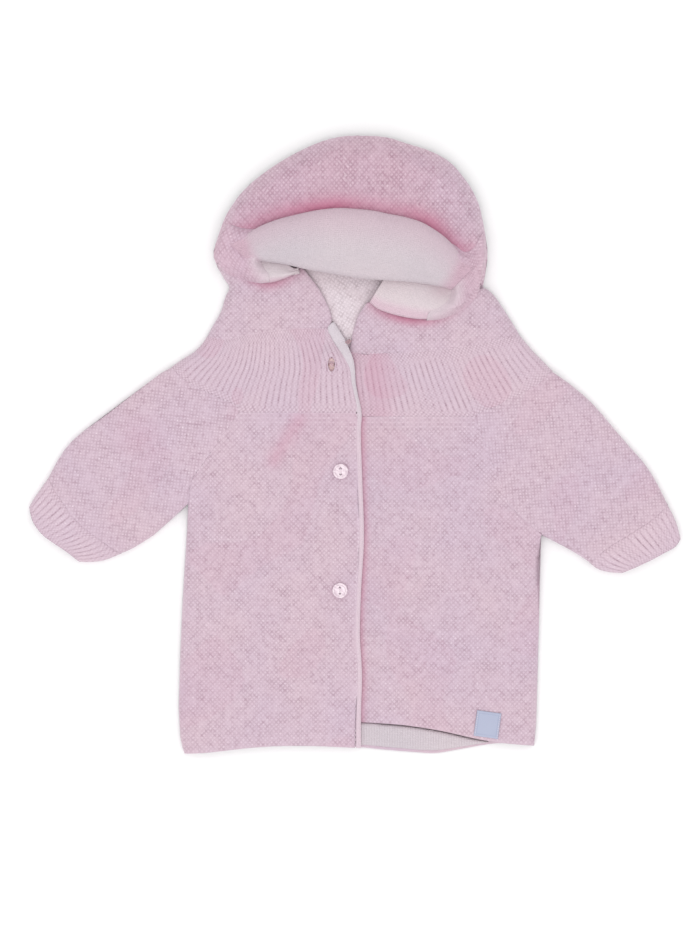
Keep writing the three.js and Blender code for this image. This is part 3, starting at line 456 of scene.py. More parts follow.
def stack(x: Array, y: Array, z: Array) -> Array:
    """Grid of points from three grids of numbers."""
    return np.stack(np.broadcast_arrays(x, y, z), axis=-1)


def slow_noise(x: Array, y: Array, size: float, seed: int) -> Array:
    """Smooth unevenness of hand-pressed cloth, from -1 to 1, over patches of a size."""
    rng = np.random.default_rng(seed)
    total = np.zeros_like(x)
    for _ in range(6):
        angle, phase, scale = rng.uniform(0, 2 * math.pi), rng.uniform(0, 2 * math.pi), rng.uniform(0.7, 1.5)
        total += np.sin((x * math.cos(angle) + y * math.sin(angle)) * 2 * math.pi / (size * scale) + phase)
    return total / 6


class Surface(Enum):
    """Names of the numbers that a cloth's surface carries for its finish."""

    # Stitch height; the knit finish paints shade in its pits and a highlight on its tops from it.
    YARN = "yarn"
    # Share of painted shade: a darker, more saturated tint laid in creases, hollows and under edges, and in some
    # patches at random.
    PAINTED_SHADE = "deep"
    PALE = "pale"


@dataclass
class Cloth:
    """A thin closed wall of cloth between an outer and an inner grid of points, in millimetres."""

    name: str
    outer: Array
    inner: Array
    yarn: Array
    # Share of painted shade, carried to the finish.
    deep: Array | float = 0.0
    pale: Array | float = 0.0
    grain: Array | None = None
    ring: bool = False
    opened: float = 1.0

    def build(self) -> Piece:
        """Makes the mesh with its surface numbers."""
        rows, columns = self.outer.shape[:2]
        points = np.concatenate([self.outer.reshape(-1, 3), self.inner.reshape(-1, 3)]) * MM
        mesh = bpy.data.meshes.new(self.name)
        mesh.from_pydata(points.tolist(), [], self._faces(rows, columns).tolist())
        self._carry(mesh, rows, columns)
        body = bmesh.new()
        body.from_mesh(mesh)
        bmesh.ops.remove_doubles(body, verts=body.verts, dist=2e-6)
        bmesh.ops.dissolve_degenerate(body, edges=body.edges, dist=1e-7)
        bmesh.ops.recalc_face_normals(body, faces=body.faces)
        if body.calc_volume(signed=True) < 0:
            bmesh.ops.reverse_faces(body, faces=body.faces)
        body.to_mesh(mesh)
        body.free()
        mesh.shade_smooth()
        return placed(self.name, mesh)

    def _faces(self, rows: int, columns: int) -> Array:
        """Quads of both sides and of the rim, the outer ones split between their two lower stitches."""
        spans = columns if self.ring else columns - 1
        i, j = np.meshgrid(np.arange(rows - 1), np.arange(spans), indexing="ij")
        k = (j + 1) % columns
        a, b, c, d = i * columns + j, i * columns + k, (i + 1) * columns + k, (i + 1) * columns + j
        outer = np.stack([a, b, c, d], axis=-1).reshape(-1, 4)
        inner = outer[:, ::-1] + rows * columns
        rise = np.broadcast_to(self.yarn, (rows, columns)).ravel()[outer]
        split = rise[:, 0] + rise[:, 2] > rise[:, 1] + rise[:, 3]
        outer = np.where(split[:, None], np.roll(outer, 1, axis=1), outer)
        rim = [self._rim(np.arange(columns + 1 if self.ring else columns) % columns, rows * columns, True)]
        rim.append(self._rim((rows - 1) * columns + np.arange(columns + self.ring) % columns, rows * columns, False))
        if not self.ring:
            rim.append(self._rim(np.arange(rows) * columns, rows * columns, False))
            rim.append(self._rim(np.arange(rows) * columns + columns - 1, rows * columns, True))
        return np.concatenate([outer, inner, *rim])

    @staticmethod
    def _rim(edge: Array, shift: int, turned: bool) -> Array:
        """Quads between an edge of the outer side and the same edge of the inner side."""
        quads = np.stack([edge[:-1], edge[:-1] + shift, edge[1:] + shift, edge[1:]], axis=-1)
        return quads if turned else quads[:, ::-1]

    def _carry(self, mesh: bpy.types.Mesh, rows: int, columns: int) -> None:
        """Writes the surface numbers and the grain's direction to the mesh."""
        for kind, values in ((Surface.YARN, self.yarn), (Surface.PAINTED_SHADE, self.deep), (Surface.PALE, self.pale)):
            side = np.broadcast_to(np.asarray(values, float), (rows, columns))
            both = np.concatenate([side.ravel(), side.ravel() * (kind is Surface.PALE)])
            mesh.attributes.new(kind.value, "FLOAT", "POINT").data.foreach_set("value", both.astype(np.float32))
        if self.grain is not None:
            flat = np.concatenate([self.grain.reshape(-1, 2)] * 2)
            full = np.concatenate([flat, np.zeros((len(flat), 1))], axis=1).astype(np.float32)
            mesh.attributes.new("grain", "FLOAT_VECTOR", "POINT").data.foreach_set("vector", full.ravel())

    def cut(self) -> tuple[tuple[float, float], float]:
        """Flat size and area of the cloth, in metres and square metres, measured without its stitches."""
        grid = self.outer[::4, ::4] * MM
        across, up = np.diff(grid, axis=1), np.diff(grid, axis=0)
        area = float(np.linalg.norm(np.cross(across[:-1], up[:, :-1]), axis=-1).sum()) * self.opened
        width = float(np.linalg.norm(across, axis=-1).sum(1).max()) * (1.02 if self.ring else self.opened)
        length = max(float(np.linalg.norm(up, axis=-1).sum(0).max()), area / width)
        return (width, length), min(max(area, 0.31 * width * length), width * length)


def dress(piece: Piece, finish: Material, slot: str, *nodes: str) -> Piece:
    """Gives a piece its finish and puts it in place of its solids."""
    if not piece.data.materials:
        piece.data.materials.append(finish)
    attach(piece, "root")
    if nodes:
        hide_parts(*nodes)
    log.info("%s: %d faces", piece.name, len(piece.data.polygons))
    return piece


def lay(cloth: Cloth, finish: Material, slot: str) -> Piece:
    """Builds a cloth, dresses it in place of the solid of the same name, and logs its cut."""
    size, area = cloth.cut()
    made = dress(cloth.build(), finish, slot, cloth.name.removesuffix("_cloth"))
    log.info("%s: cut %.3f x %.3f m, %.4f m2", made.name, *size, area)
    return made


Colour = tuple[float, float, float]
Socket = bpy.types.NodeSocket


def paint(red: int, green: int, blue: int) -> Colour:
    """Linear colour of an sRGB one."""
    return tuple(c / 12.92 if c <= 0.04045 else ((c + 0.055) / 1.055) ** 2.4 for c in (red / 255, green / 255,
                                                                                       blue / 255))


class Bench:
    """Builds the nodes of one material round its Principled shader."""

    def __init__(self, name: str, roughness: float, **constants: float | tuple) -> None:
        """Opens a material with the shader's fixed values."""
        self.material = bpy.data.materials.new(name)
        self.material.use_nodes = True
        self.tree = self.material.node_tree
        self.shader = self.tree.nodes["Principled BSDF"]
        self.shader.inputs["Roughness"].default_value = roughness
        for key, value in constants.items():
            self.shader.inputs[key.replace("_", " ")].default_value = value

    def node(self, kind: str, **settings: object) -> bpy.types.Node:
        """New node with its properties set."""
        made = self.tree.nodes.new(kind)
        for key, value in settings.items():
            setattr(made, key, value)
        return made

    def feed(self, target: Socket, value: Socket | float | Colour) -> None:
        """Links or sets an input."""
        if isinstance(value, Socket):
            self.tree.links.new(value, target)
        elif isinstance(value, tuple) and len(target.default_value) == 4:
            target.default_value = (*value, 1)
        else:
            target.default_value = value

    def number(self, name: str) -> Socket:
        """A number that the surface carries."""
        return self.node("ShaderNodeAttribute", attribute_name=name).outputs["Fac"]

    def vector(self, name: str) -> Socket:
        """A vector that the surface carries."""
        return self.node("ShaderNodeAttribute", attribute_name=name).outputs["Vector"]

    def place(self) -> Socket:
        """Object coordinates."""
        return self.node("ShaderNodeTexCoord").outputs["Object"]

    def noise(self, scale: float, detail: float = 2.0, where: Socket | None = None) -> Socket:
        """Noise about 0.5 on object coordinates, or on another vector."""
        made = self.node("ShaderNodeTexNoise")
        self.feed(made.inputs["Vector"], where or self.place())
        self.feed(made.inputs["Scale"], scale)
        self.feed(made.inputs["Detail"], detail)
        return made.outputs["Fac"]

    def span(self, value: Socket, low: float, high: float, to_low: float = 0.0, to_high: float = 1.0) -> Socket:
        """Value between two limits, carried to two others."""
        made = self.node("ShaderNodeMapRange")
        for socket, fed in zip(made.inputs, (value, low, high, to_low, to_high)):
            self.feed(socket, fed)
        return made.outputs["Result"]

    def math(self, kind: str, first: Socket | float, second: Socket | float = 0.0) -> Socket:
        """Result of one sum."""
        made = self.node("ShaderNodeMath", operation=kind)
        self.feed(made.inputs[0], first)
        self.feed(made.inputs[1], second)
        return made.outputs[0]

    def blend(self, share: Socket | float, first: Socket | Colour, second: Socket | Colour) -> Socket:
        """Colour between two others."""
        made = self.node("ShaderNodeMix", data_type="RGBA")
        self.feed(made.inputs[0], share)
        self.feed(made.inputs[6], first)
        self.feed(made.inputs[7], second)
        return made.outputs[2]

    def relief(self, height: Socket, strength: float, distance: float) -> None:
        """Bump from a height, in metres."""
        made = self.node("ShaderNodeBump")
        self.feed(made.inputs["Strength"], strength)
        self.feed(made.inputs["Distance"], distance)
        self.feed(made.inputs["Height"], height)
        self.feed(self.shader.inputs["Normal"], made.outputs["Normal"])

    def colour(self, value: Socket | Colour) -> None:
        """Base colour."""
        self.feed(self.shader.inputs["Base Color"], value)


@dataclass(frozen=True)
class KnitFinish:
    """Soft cotton yarn: its shades, its fuzz, its painted shade and highlight, and how strongly its stitches show."""

    name: str
    yarn: Colour
    cool: Colour
    # Colour of painted shade in the pits between stitches.
    pit: Colour
    # Colour of the painted highlight on the stitch tops.
    painted_highlight: Colour
    # Colour of painted shade, laid on where the surface carries a share of it.
    deep: Colour
    pale: Colour
    # How strongly the pits are painted in shade.
    pit_shade_share: float = 0.8
    wale: float = 0.0

    def material(self) -> Material:
        """Builds the finish."""
        b = Bench(self.name, 0.88, Specular_IOR_Level=0.18, Sheen_Weight=0.25, Sheen_Roughness=0.55)
        yarn = b.number(Surface.YARN.value)
        patches = b.span(b.noise(16, 3), 0.36, 0.66)
        base = b.blend(patches, self.yarn, self.cool)
        fleck = b.noise(620, 2)
        uneven = b.span(b.noise(210, 2), 0.3, 0.7, 0.45, 1.0)
        # Painted shade: the pits between stitches darker, unevenly.
        base = b.blend(b.math("MULTIPLY", b.span(yarn, 0.25, -1.0, 0.0, self.pit_shade_share), uneven), base, self.pit)
        # Painted highlight: the stitch tops lighter, in flecks.
        base = b.blend(b.math("MULTIPLY", b.span(yarn, 0.2, 1.0), b.span(fleck, 0.42, 0.68)), base, self.painted_highlight)
        # Painted shade: the saturated tint, by the share that the surface carries.
        base = b.blend(b.number(Surface.PAINTED_SHADE.value), base, self.deep)
        base = b.blend(b.number(Surface.PALE.value), base, self.pale)
        tone = b.node("ShaderNodeHueSaturation")
        b.feed(tone.inputs["Value"], b.span(b.noise(900, 1), 0.25, 0.75, 0.94, 1.05))
        b.feed(tone.inputs["Color"], base)
        b.colour(tone.outputs["Color"])
        height = b.math("ADD", b.noise(1500, 3), b.math("MULTIPLY", fleck, 0.6))
        b.relief(self._wales(b, height), 0.55, 0.00045)
        return b.material

    def _wales(self, b: Bench, height: Socket) -> Socket:
        """Adds the fine loops of jersey along the grain."""
        if not self.wale:
            return height
        parts = b.node("ShaderNodeSeparateXYZ")
        b.feed(parts.inputs[0], b.vector("grain"))
        lean = b.math("ABSOLUTE", b.math("SINE", b.math("MULTIPLY", parts.outputs[0], math.pi / self.wale)))
        turn = b.math("ADD", b.math("MULTIPLY", parts.outputs[1], 2 * math.pi / self.wale),
                      b.math("MULTIPLY", lean, 2.4))
        loops = b.math("MULTIPLY", b.math("SINE", turn), 0.35)
        return b.math("ADD", height, b.math("ADD", b.math("MULTIPLY", lean, 0.9), loops))


@dataclass(frozen=True)
class PearlFinish:
    """Polished pearly button resin."""

    name: str
    light: Colour
    rose: Colour

    def material(self) -> Material:
        """Builds the finish."""
        b = Bench(self.name, 0.2, Specular_IOR_Level=0.6, Coat_Weight=0.7, Coat_Roughness=0.08)
        swirl = b.node("ShaderNodeTexWave", bands_direction="DIAGONAL")
        b.feed(swirl.inputs["Vector"], b.place())
        for key, value in (("Scale", 130.0), ("Distortion", 9.0), ("Detail", 2.0), ("Detail Scale", 1.4)):
            b.feed(swirl.inputs[key], value)
        worn = b.span(b.noise(900, 2), 0.35, 0.75)
        b.colour(b.blend(b.math("MULTIPLY", worn, 0.25), b.blend(swirl.outputs["Fac"], self.light, self.rose),
                         self.light))
        b.relief(b.noise(700, 2), 0.06, 0.0002)
        return b.material


@dataclass(frozen=True)
class SatinFinish:
    """Woven satin of the label, with a plain woven border."""

    name: str
    field: Colour
    thread: Colour
    half_width: float
    half_length: float

    def material(self) -> Material:
        """Builds the finish."""
        b = Bench(self.name, 0.42, Specular_IOR_Level=0.45, Sheen_Weight=0.15)
        parts = b.node("ShaderNodeSeparateXYZ")
        b.feed(parts.inputs[0], b.vector("grain"))
        across, up = parts.outputs[0], parts.outputs[1]
        weft = b.math("SINE", b.math("MULTIPLY", up, 2 * math.pi / 0.42))
        warp = b.math("SINE", b.math("MULTIPLY", across, 2 * math.pi / 0.3))
        weave = b.math("ADD", weft, b.math("MULTIPLY", warp, 0.5))
        away = b.math("MINIMUM", b.math("SUBTRACT", self.half_width, b.math("ABSOLUTE", across)),
                      b.math("SUBTRACT", self.half_length, b.math("ABSOLUTE", up)))
        border = b.math("LESS_THAN", b.math("ABSOLUTE", b.math("SUBTRACT", away, 1.9)), 0.28)
        base = b.blend(b.span(weave, -1.5, 1.5, 0.0, 0.35), self.field, self.thread)
        base = b.blend(b.math("MULTIPLY", border, 0.55), base, self.thread)
        b.colour(b.blend(b.span(b.noise(60, 2), 0.4, 0.7, 0.0, 0.25), base, self.field))
        b.relief(weave, 0.35, 0.00012)
        return b.material


@dataclass(frozen=True)
class ThreadFinish:
    """Sewing thread or a single yarn."""

    name: str
    strand: Colour
    shade: Colour

    def material(self) -> Material:
        """Builds the finish."""
        b = Bench(self.name, 0.7, Specular_IOR_Level=0.25, Sheen_Weight=0.3)
        twist = b.noise(1800, 2)
        b.colour(b.blend(b.span(twist, 0.35, 0.65), self.strand, self.shade))
        b.relief(twist, 0.5, 0.0002)
        return b.material


# Each knit: name, yarn, cool patches, painted pit shade, painted highlight, painted shade tint, pale; then pit shade
# strength and wale.
PINK = KnitFinish(
    "pink moss knit", paint(212, 189, 200), paint(208, 187, 202), paint(170, 139, 155), paint(232, 215, 224),
    paint(197, 122, 150), paint(212, 197, 204),
)
RIB = KnitFinish(
    "pink rib knit", paint(211, 188, 199), paint(207, 186, 200), paint(166, 136, 151), paint(230, 213, 222),
    paint(197, 122, 150), paint(212, 197, 204), 1.0,
)
LINING = KnitFinish(
    "pale lining jersey", paint(209, 197, 203), paint(204, 194, 201), paint(180, 163, 172), paint(223, 212, 219),
    paint(184, 163, 166), paint(204, 172, 187), 0.55, 1.5,
)
# Hood lining knit seen in the neck opening: its own moss texture, its colour painted lighter than the same lining
# elsewhere, standing in for light in that hollow.
LINING_MOSS_PAINTED_LIGHTER = KnitFinish(
    "lining knit painted lighter", paint(231, 217, 223), paint(226, 214, 221), paint(176, 160, 166), paint(244, 236, 240),
    paint(192, 170, 173), paint(219, 194, 207), 0.7,
)
# The lining jersey of the lips, painted lighter than the same lining on the rim: painted light against the shade
# under the rim.
LIP_LINING_PAINTED_LIGHTER = KnitFinish(
    "lip jersey painted lighter", paint(224, 210, 214), paint(219, 207, 212), paint(192, 174, 182), paint(237, 226, 231),
    paint(198, 168, 180), paint(217, 190, 202), 0.5, 1.5,
)
FACING = KnitFinish(
    "placket facing", paint(214, 204, 210), paint(210, 201, 209), paint(194, 177, 187), paint(228, 218, 224),
    paint(192, 150, 171), paint(218, 196, 207), 0.45, 1.6,
)
PEARL = PearlFinish("pearl button", paint(236, 219, 227), paint(212, 190, 202))
# The same pearl, darker and rosier: painted shade for the top button under the overlap.
SHADED_PEARL = PearlFinish("rosy pearl button", paint(226, 194, 188), paint(203, 170, 182))
SATIN = SatinFinish("label satin", paint(178, 183, 205), paint(150, 158, 186), 9.5, 10.0)
PINK_THREAD = ThreadFinish("pink seam yarn", paint(198, 164, 180), paint(166, 130, 148))
PALE_THREAD = ThreadFinish("pale sewing thread", paint(240, 228, 234), paint(214, 196, 206))
BROWN_THREAD = ThreadFinish("rosy brown yarn", paint(190, 158, 164), paint(152, 122, 130))


SEAM_SIDE = -0.3
ARMHOLE = {"right": smooth(ARMHOLE_RIGHT, 120), "left": smooth(ARMHOLE_LEFT, 120)}
CORNER = {
    "right": int(np.argmin(np.linalg.norm(ARMHOLE["right"] - YOKE_LINE_RIGHT[0], axis=1))),
    "left": int(np.argmin(np.linalg.norm(ARMHOLE["left"] - YOKE_LINE_LEFT[-1], axis=1))),
}
SILHOUETTE = smooth(HOOD_SILHOUETTE, 240)
RIM = smooth(HOOD_RIM, 240)
EDGE = smooth(PLACKET_EDGE, 200)
FACING_INSIDE = smooth(FACING_LINE, 200)


def facing_between(low: float, high: float) -> Array:
    """Part of the facing's inner line between two heights."""
    inside = FACING_INSIDE[:-6]
    return inside[(inside[:, 1] > low) & (inside[:, 1] < high)]


def uneven(shape: tuple[int, ...], seed: int) -> Array:
    """Hand of the yarn: each stitch higher or lower than the next, in clearer and fainter patches."""
    rows, columns = np.indices(shape)
    patches = 0.9 + 0.3 * slow_noise(columns * STITCH, rows * ROW, 22, seed)
    return np.random.default_rng(seed).uniform(0.35, 1.3, shape) * patches


def checks(shape: tuple[int, ...], size: int = 1) -> Array:
    """Chequers of 1 and -1, a few points wide."""
    return np.where((np.indices(shape) // size).sum(0) % 2 == 0, 1.0, -1.0)


def underside(grid: Lattice, x: Array, y: Array, relief: float, seed: int) -> Array:
    """Stitched lower surface that touches the floor only with its highest stitches."""
    return relief * (0.5 - 0.5 * grid.moss() * uneven(x.shape, seed)) + 0.02


@dataclass
class Fronts:
    """The two fronts: one laps over the other and both fold down to the back at the sides."""

    relief: float = 0.36
    garter: float = 12.0
    edge_fade: float = 1.6

    def _stitches(self, grid: Lattice, x: Array, y: Array, top: float, edge: Array, seed: int) -> Array:
        """Moss stitch, turning to level ridges under the yoke and fading into the seams."""
        ridge = np.where(grid.j % 2 == 0, 0.8, -0.9)
        share = ease((y - top + self.garter) / 6) * 0.35
        return mix(grid.moss(), ridge, share) * uneven(x.shape, seed) * ease(edge / self.edge_fade)

    def right(self) -> Cloth:
        """The overlapping front."""
        yoke = beside(smooth(YOKE_LINE_RIGHT, 40), -SEAM_SIDE)
        hole = beside(ARMHOLE["right"][CORNER["right"]:], SEAM_SIDE)
        side = smooth(BODY_SIDE_RIGHT, 60)
        inner = beside(facing_between(-235, 24.6), -0.6)
        hem = smooth(np.vstack([HEM_RIGHT[:-1], [[0.5, -235.5]]]), 60)
        grid = Lattice(np.vstack([hem, inner, yoke[::-1], hole[1:], side[::-1][1:]]))
        x, y = grid.places()
        side_away = distance_to(np.vstack([side, hole[::-1]]), x, y)
        fold = 1 - ease((y + 47 + 14) / 14)
        seams = seam_dip(distance_to(yoke, x, y)) + seam_dip(distance_to(hole, x, y)) * (1 - fold)
        hem_away = distance_to(hem, x, y)
        full = overlap_top(x, y) - seams - 1.4 * (1 - ease(hem_away / 3.0)) + 0.25 * slow_noise(x, y, 60, 3)
        top, low = folded(full, side_away, fold)
        edge = np.minimum.reduce([side_away, hem_away, distance_to(inner, x, y), distance_to(yoke, x, y)])
        yarn = self._stitches(grid, x, y, 25, edge, 11)
        # Painted shade along a soft crease, and darker pink patches at random.
        crease = distance_to(line((-44, 20), (-63, -12)), x, y)
        deep = 0.26 * bell(crease, 6) + 0.06 * (slow_noise(x, y, 90, 5) > 0.2)
        under = np.minimum(low, top - 0.8)
        outer = stack(x, y, top + self.relief * yarn * rounding(side_away, 3))
        return Cloth("front_right_cloth", outer, stack(x, y, under), yarn, deep)

    def left(self) -> Cloth:
        """The front that lies under the other."""
        yoke = beside(smooth(YOKE_LINE_LEFT, 40), -SEAM_SIDE)
        hole = beside(ARMHOLE["left"][CORNER["left"]:], -SEAM_SIDE)
        side = smooth(BODY_SIDE_LEFT, 60)
        hem = smooth(np.vstack([HEM_FRONT_LEFT[:-1], BODY_SIDE_LEFT[:1]]), 60)
        grid = Lattice(np.vstack([hem, side[1:], hole[::-1], yoke[::-1]]))
        x, y = grid.places()
        side_away = distance_to(np.vstack([side, hole[::-1]]), x, y)
        fold = 1 - ease((y + 70 + 14) / 14)
        seams = seam_dip(distance_to(yoke, x, y)) + seam_dip(distance_to(hole, x, y)) * (1 - fold)
        hem_away = distance_to(hem, x, y)
        shown = 1 - covered(x)
        wave = 0.25 * slow_noise(x, y, 60, 4) * shown
        full = underlap_top(x, y) - seams * shown - 1.2 * (1 - ease(hem_away / 3.0)) + wave
        top, low = folded(full, side_away, fold)
        edge = np.minimum.reduce([side_away, hem_away, distance_to(yoke, x, y)])
        yarn = self._stitches(grid, x, y, 22, edge, 12)
        # Painted shadow of the overlap on the underlap beside its edge, and darker patches at random.
        lap = distance_to(EDGE, x, y)
        deep = 0.42 * bell(lap, 3.2) + 0.05 * (slow_noise(x, y, 90, 6) > 0.2)
        under = np.minimum(low, top - 0.8)
        outer = stack(x, y, top + self.relief * yarn * rounding(side_away, 3))
        return Cloth("front_left_cloth", outer, stack(x, y, under), yarn, deep)

    def make(self, knit: Material) -> None:
        """Builds both fronts."""
        lay(self.left(), knit, "pink_knit")
        lay(self.right(), knit, "pink_knit")


@dataclass
class Backs:
    """The flat layers on the floor: back, ribbed yoke back and hood back."""

    pitch: float = 1.7
    relief: float = 0.5

    def _plate(self, name: str, outline: Array, seed: int, turn: float = 0.0) -> Cloth:
        """Flat layer with moss stitch on its lower side."""
        grid = Lattice(outline, turn, self.pitch, self.pitch)
        x, y = grid.places()
        edge = distance_to(np.vstack([outline, outline[:1]]), x, y)
        low = underside(grid, x, y, self.relief, seed) + 0.8 * (1 - rounding(edge, 2))
        high = CLOTH - 0.7 * (1 - rounding(edge, 2))
        yarn = grid.moss() * ease(edge / 1.5)
        return Cloth(name, stack(x, y, low), stack(x, y, high), yarn)

    def body(self) -> Cloth:
        """Back panel below the yoke."""
        right = beside(ARMHOLE["right"][CORNER["right"]:], 2 * SEAM_SIDE)[1:]
        left = beside(ARMHOLE["left"][CORNER["left"]:][::-1], SEAM_SIDE)
        corner = line((92.8, 21.2), (-89.6, 24.4))
        hem = np.vstack([smooth(HEM_RIGHT, 30), smooth(HEM_BACK_LEFT, 40)[1:]])
        sides = smooth(BODY_SIDE_LEFT, 40)[1:-1], smooth(BODY_SIDE_RIGHT, 40)[::-1][1:-1]
        return self._plate("back_panel_cloth", np.vstack([hem, sides[0], left, corner, right, sides[1]]), 21)

    def hood(self) -> Cloth:
        """Back of the hood."""
        sides = smooth(HOOD_SIDE_LEFT["outer"], 20)[1:], smooth(HOOD_SIDE_RIGHT["outer"], 20)[::-1][:-1]
        neck = line((-114.7, 85), (128.2, 85.3))
        return self._plate("hood_back_cloth", np.vstack([neck, sides[0], SILHOUETTE[::-1], sides[1]]), 22,
                           math.pi / 2)

    def yoke(self) -> Cloth:
        """Ribbed yoke back, its ribs fanning out from the neck."""
        right = beside(ARMHOLE["right"][: CORNER["right"] + 1], SEAM_SIDE)
        left = beside(ARMHOLE["left"][: CORNER["left"] + 1][::-1], SEAM_SIDE)
        edge = np.vstack([right, line((-60, 25.4), (0, 24.2), (60, 22.4)), left])
        neck = walk(line((-114.7, 84.4), (128.2, 84.7)), np.linspace(0, 1, 60))
        plan = Patch(edge, neck, smooth(SHOULDER_RIGHT, 30), smooth(SHOULDER_LEFT, 30))
        ribs = round(length_of(edge) / RIB_PITCH)
        u, v = np.linspace(0, 1, ribs * 5 + 1), np.linspace(0, 1, 34)
        x, y = plan.at(u, v)
        crest = Yokes.crest(u * ribs)[None] * ease(v / 0.06)[:, None] * ease((1 - v) / 0.06)[:, None]
        yarn = 2 * np.broadcast_to(crest, x.shape) - 1
        low = 0.7 * (1 - crest) + 0.02
        return Cloth("yoke_back_cloth", stack(x, y, low), stack(x, y, CLOTH), yarn)

    def make(self, knit: Material, rib: Material) -> None:
        """Builds the flat layers."""
        lay(self.body(), knit, "pink_knit")
        lay(self.hood(), knit, "pink_knit")
        lay(self.yoke(), rib, "pink_rib")


@dataclass
class Yokes:
    """The ribbed yoke fronts."""

    height: float = 0.65
    samples: int = 6
    row: float = 0.85
    slit: tuple[float, float] = (5.4, 11.2)

    @staticmethod
    def crest(phase: Array) -> Array:
        """Rib's height over its phase: a broad crest between narrow furrows."""
        return np.abs(np.sin(math.pi * phase)) ** 0.4

    def _sheet(self, name: str, top: Array, low: Array, grid: tuple, share: Array, under: bool) -> Cloth:
        """Ribs and loops over the yoke's plain heights."""
        u, v, ribs, x, y = grid
        clear = np.clip(0.72 + 0.5 * slow_noise(x, y, 34, 19), 0.25, 1)
        fade = ease(v / 0.16)[:, None] * ease((1 - v) / 0.24)[:, None] * share * clear
        crest = self.crest(u * ribs)[None]
        beat = np.where(np.arange(len(v)) % 2 == 0, 1.0, -1.0)[:, None]
        loops = 0.5 * beat * crest
        hand = uneven(x.shape, 31)
        moss = 0.7 * checks((len(v), len(u)), 2)
        furrow = 0.35 - (1.3 + 0.9 * beat) * (1 - crest) + 0.7 * loops
        yarn = mix(moss, furrow, fade) * hand
        height = self.height * (crest - 0.35) * fade + 0.16 * loops * hand + 0.2 * moss * (1 - fade)
        # Darker patches at random, and on the underlap a painted shadow beside the overlap's edge, with a broader
        # painted shade further in.
        deep = 0.10 * (slow_noise(x, y, 50, 7) > 0.25)
        lap = distance_to(EDGE, x, y)
        deep = deep + under * (0.16 * bell(lap, 3.0) + 0.2 * bell((lap - 14), 12))
        grain = np.stack([np.broadcast_to(u[None] * ribs * RIB_PITCH, x.shape),
                          np.broadcast_to(v[:, None] * 60, x.shape)], -1)
        return Cloth(name, stack(x, y, top + height), stack(x, y, low), yarn, deep, grain=grain)

    def _grid(self, plan: Patch, edge: Array) -> tuple[Array, Array, int, Array, Array]:
        """Shares and places of a yoke's grid."""
        ribs = round(length_of(edge) / RIB_PITCH)
        u = np.linspace(0, 1, ribs * self.samples + 1)
        v = np.linspace(0, 1, round(58 / self.row))
        return (u, v, ribs, *plan.at(u, v))

    def right(self) -> Cloth:
        """Yoke of the overlapping front."""
        hole = beside(ARMHOLE["right"][: CORNER["right"] + 1], SEAM_SIDE)
        edge = np.vstack([hole, beside(smooth(YOKE_LINE_RIGHT, 40), SEAM_SIDE)[2:]])
        inner = beside(facing_between(25.6, 90), -0.6)
        neck = beside(smooth(NECK_RIGHT, 40), -SEAM_SIDE)
        bottom = np.vstack([edge[edge[:, 0] < inner[0, 0] - 0.5], inner[:1]])
        top_line = np.vstack([neck[neck[:, 0] < inner[-1, 0] - 0.5], inner[-1:]])
        shoulder = smooth(SHOULDER_RIGHT, 30)
        plan = Patch(bottom, top_line, shoulder, inner)
        grid = self._grid(plan, bottom)
        x, y = grid[3:]
        away = distance_to(shoulder, x, y)
        full = overlap_top(x, y) - seam_dip(distance_to(bottom, x, y)) - 0.7 * seam_dip(distance_to(top_line, x, y))
        top, low = folded(full, away, 1.0)
        return self._sheet("yoke_front_right_cloth", top, np.minimum(low, top - 0.8), grid, rounding(away, 7), False)

    def left(self) -> Cloth:
        """Yoke of the front that lies under the other."""
        seam = beside(smooth(YOKE_LINE_LEFT, 60), SEAM_SIDE)
        hole = beside(ARMHOLE["left"][: CORNER["left"] + 1][::-1], SEAM_SIDE)
        bottom = np.vstack([seam[:-2], hole])
        neck = beside(smooth(NECK_LEFT, 60), -SEAM_SIDE)
        shoulder = smooth(SHOULDER_LEFT, 30)
        plan = Patch(bottom, neck, np.linspace(seam[0], neck[0], 20), shoulder)
        grid = self._grid(plan, bottom)
        x, y = grid[3:]
        away = distance_to(shoulder, x, y)
        shown = 1 - covered(x + 24)
        dips = seam_dip(distance_to(bottom, x, y)) + 0.3 * seam_dip(distance_to(neck, x, y))
        top, low = folded(underlap_top(x, y) - dips * shown, away, 1.0)
        share = rounding(away, 7) * (0.25 + 0.75 * shown)
        return self._sheet("yoke_front_left_cloth", top, np.minimum(low, top - 0.8), grid, share, True)

    def _open_slit(self, yoke: Piece) -> None:
        """Cuts the top buttonhole through the yoke."""
        body = bmesh.new()
        bmesh.ops.create_cone(body, cap_ends=True, segments=48, radius1=0.5, radius2=0.5, depth=40 * MM)
        for vert in body.verts:
            vert.co.x = vert.co.x * self.slit[0] * MM + TOP_BUTTON[0] * MM
            vert.co.y = vert.co.y * self.slit[1] * MM + TOP_BUTTON[1] * MM
        mesh = bpy.data.meshes.new("slit_tool")
        body.to_mesh(mesh)
        body.free()
        tool = placed("slit_tool", mesh)
        cutter = yoke.modifiers.new("slit", "BOOLEAN")
        cutter.operation, cutter.solver, cutter.object = "DIFFERENCE", "EXACT", tool
        cutter.material_mode = "INDEX"
        make_plain(yoke)
        bpy.data.objects.remove(tool)

    def make(self, rib: Material) -> None:
        """Builds both yokes and opens the buttonhole."""
        lay(self.left(), rib, "pink_rib")
        cloth = self.right()
        size, area = cloth.cut()
        yoke = cloth.build()
        yoke.data.materials.append(rib)
        self._open_slit(yoke)
        dress(yoke, rib, "pink_rib", "yoke_front_right")


def make_plain(piece: Piece) -> None:
    """Turns the evaluated piece into its own plain mesh and removes its modifiers."""
    bpy.context.view_layer.update()
    evaluated = piece.evaluated_get(bpy.context.evaluated_depsgraph_get())
    mesh = bpy.data.meshes.new_from_object(evaluated)
    piece.modifiers.clear()
    piece.data = mesh
    mesh.name = piece.name


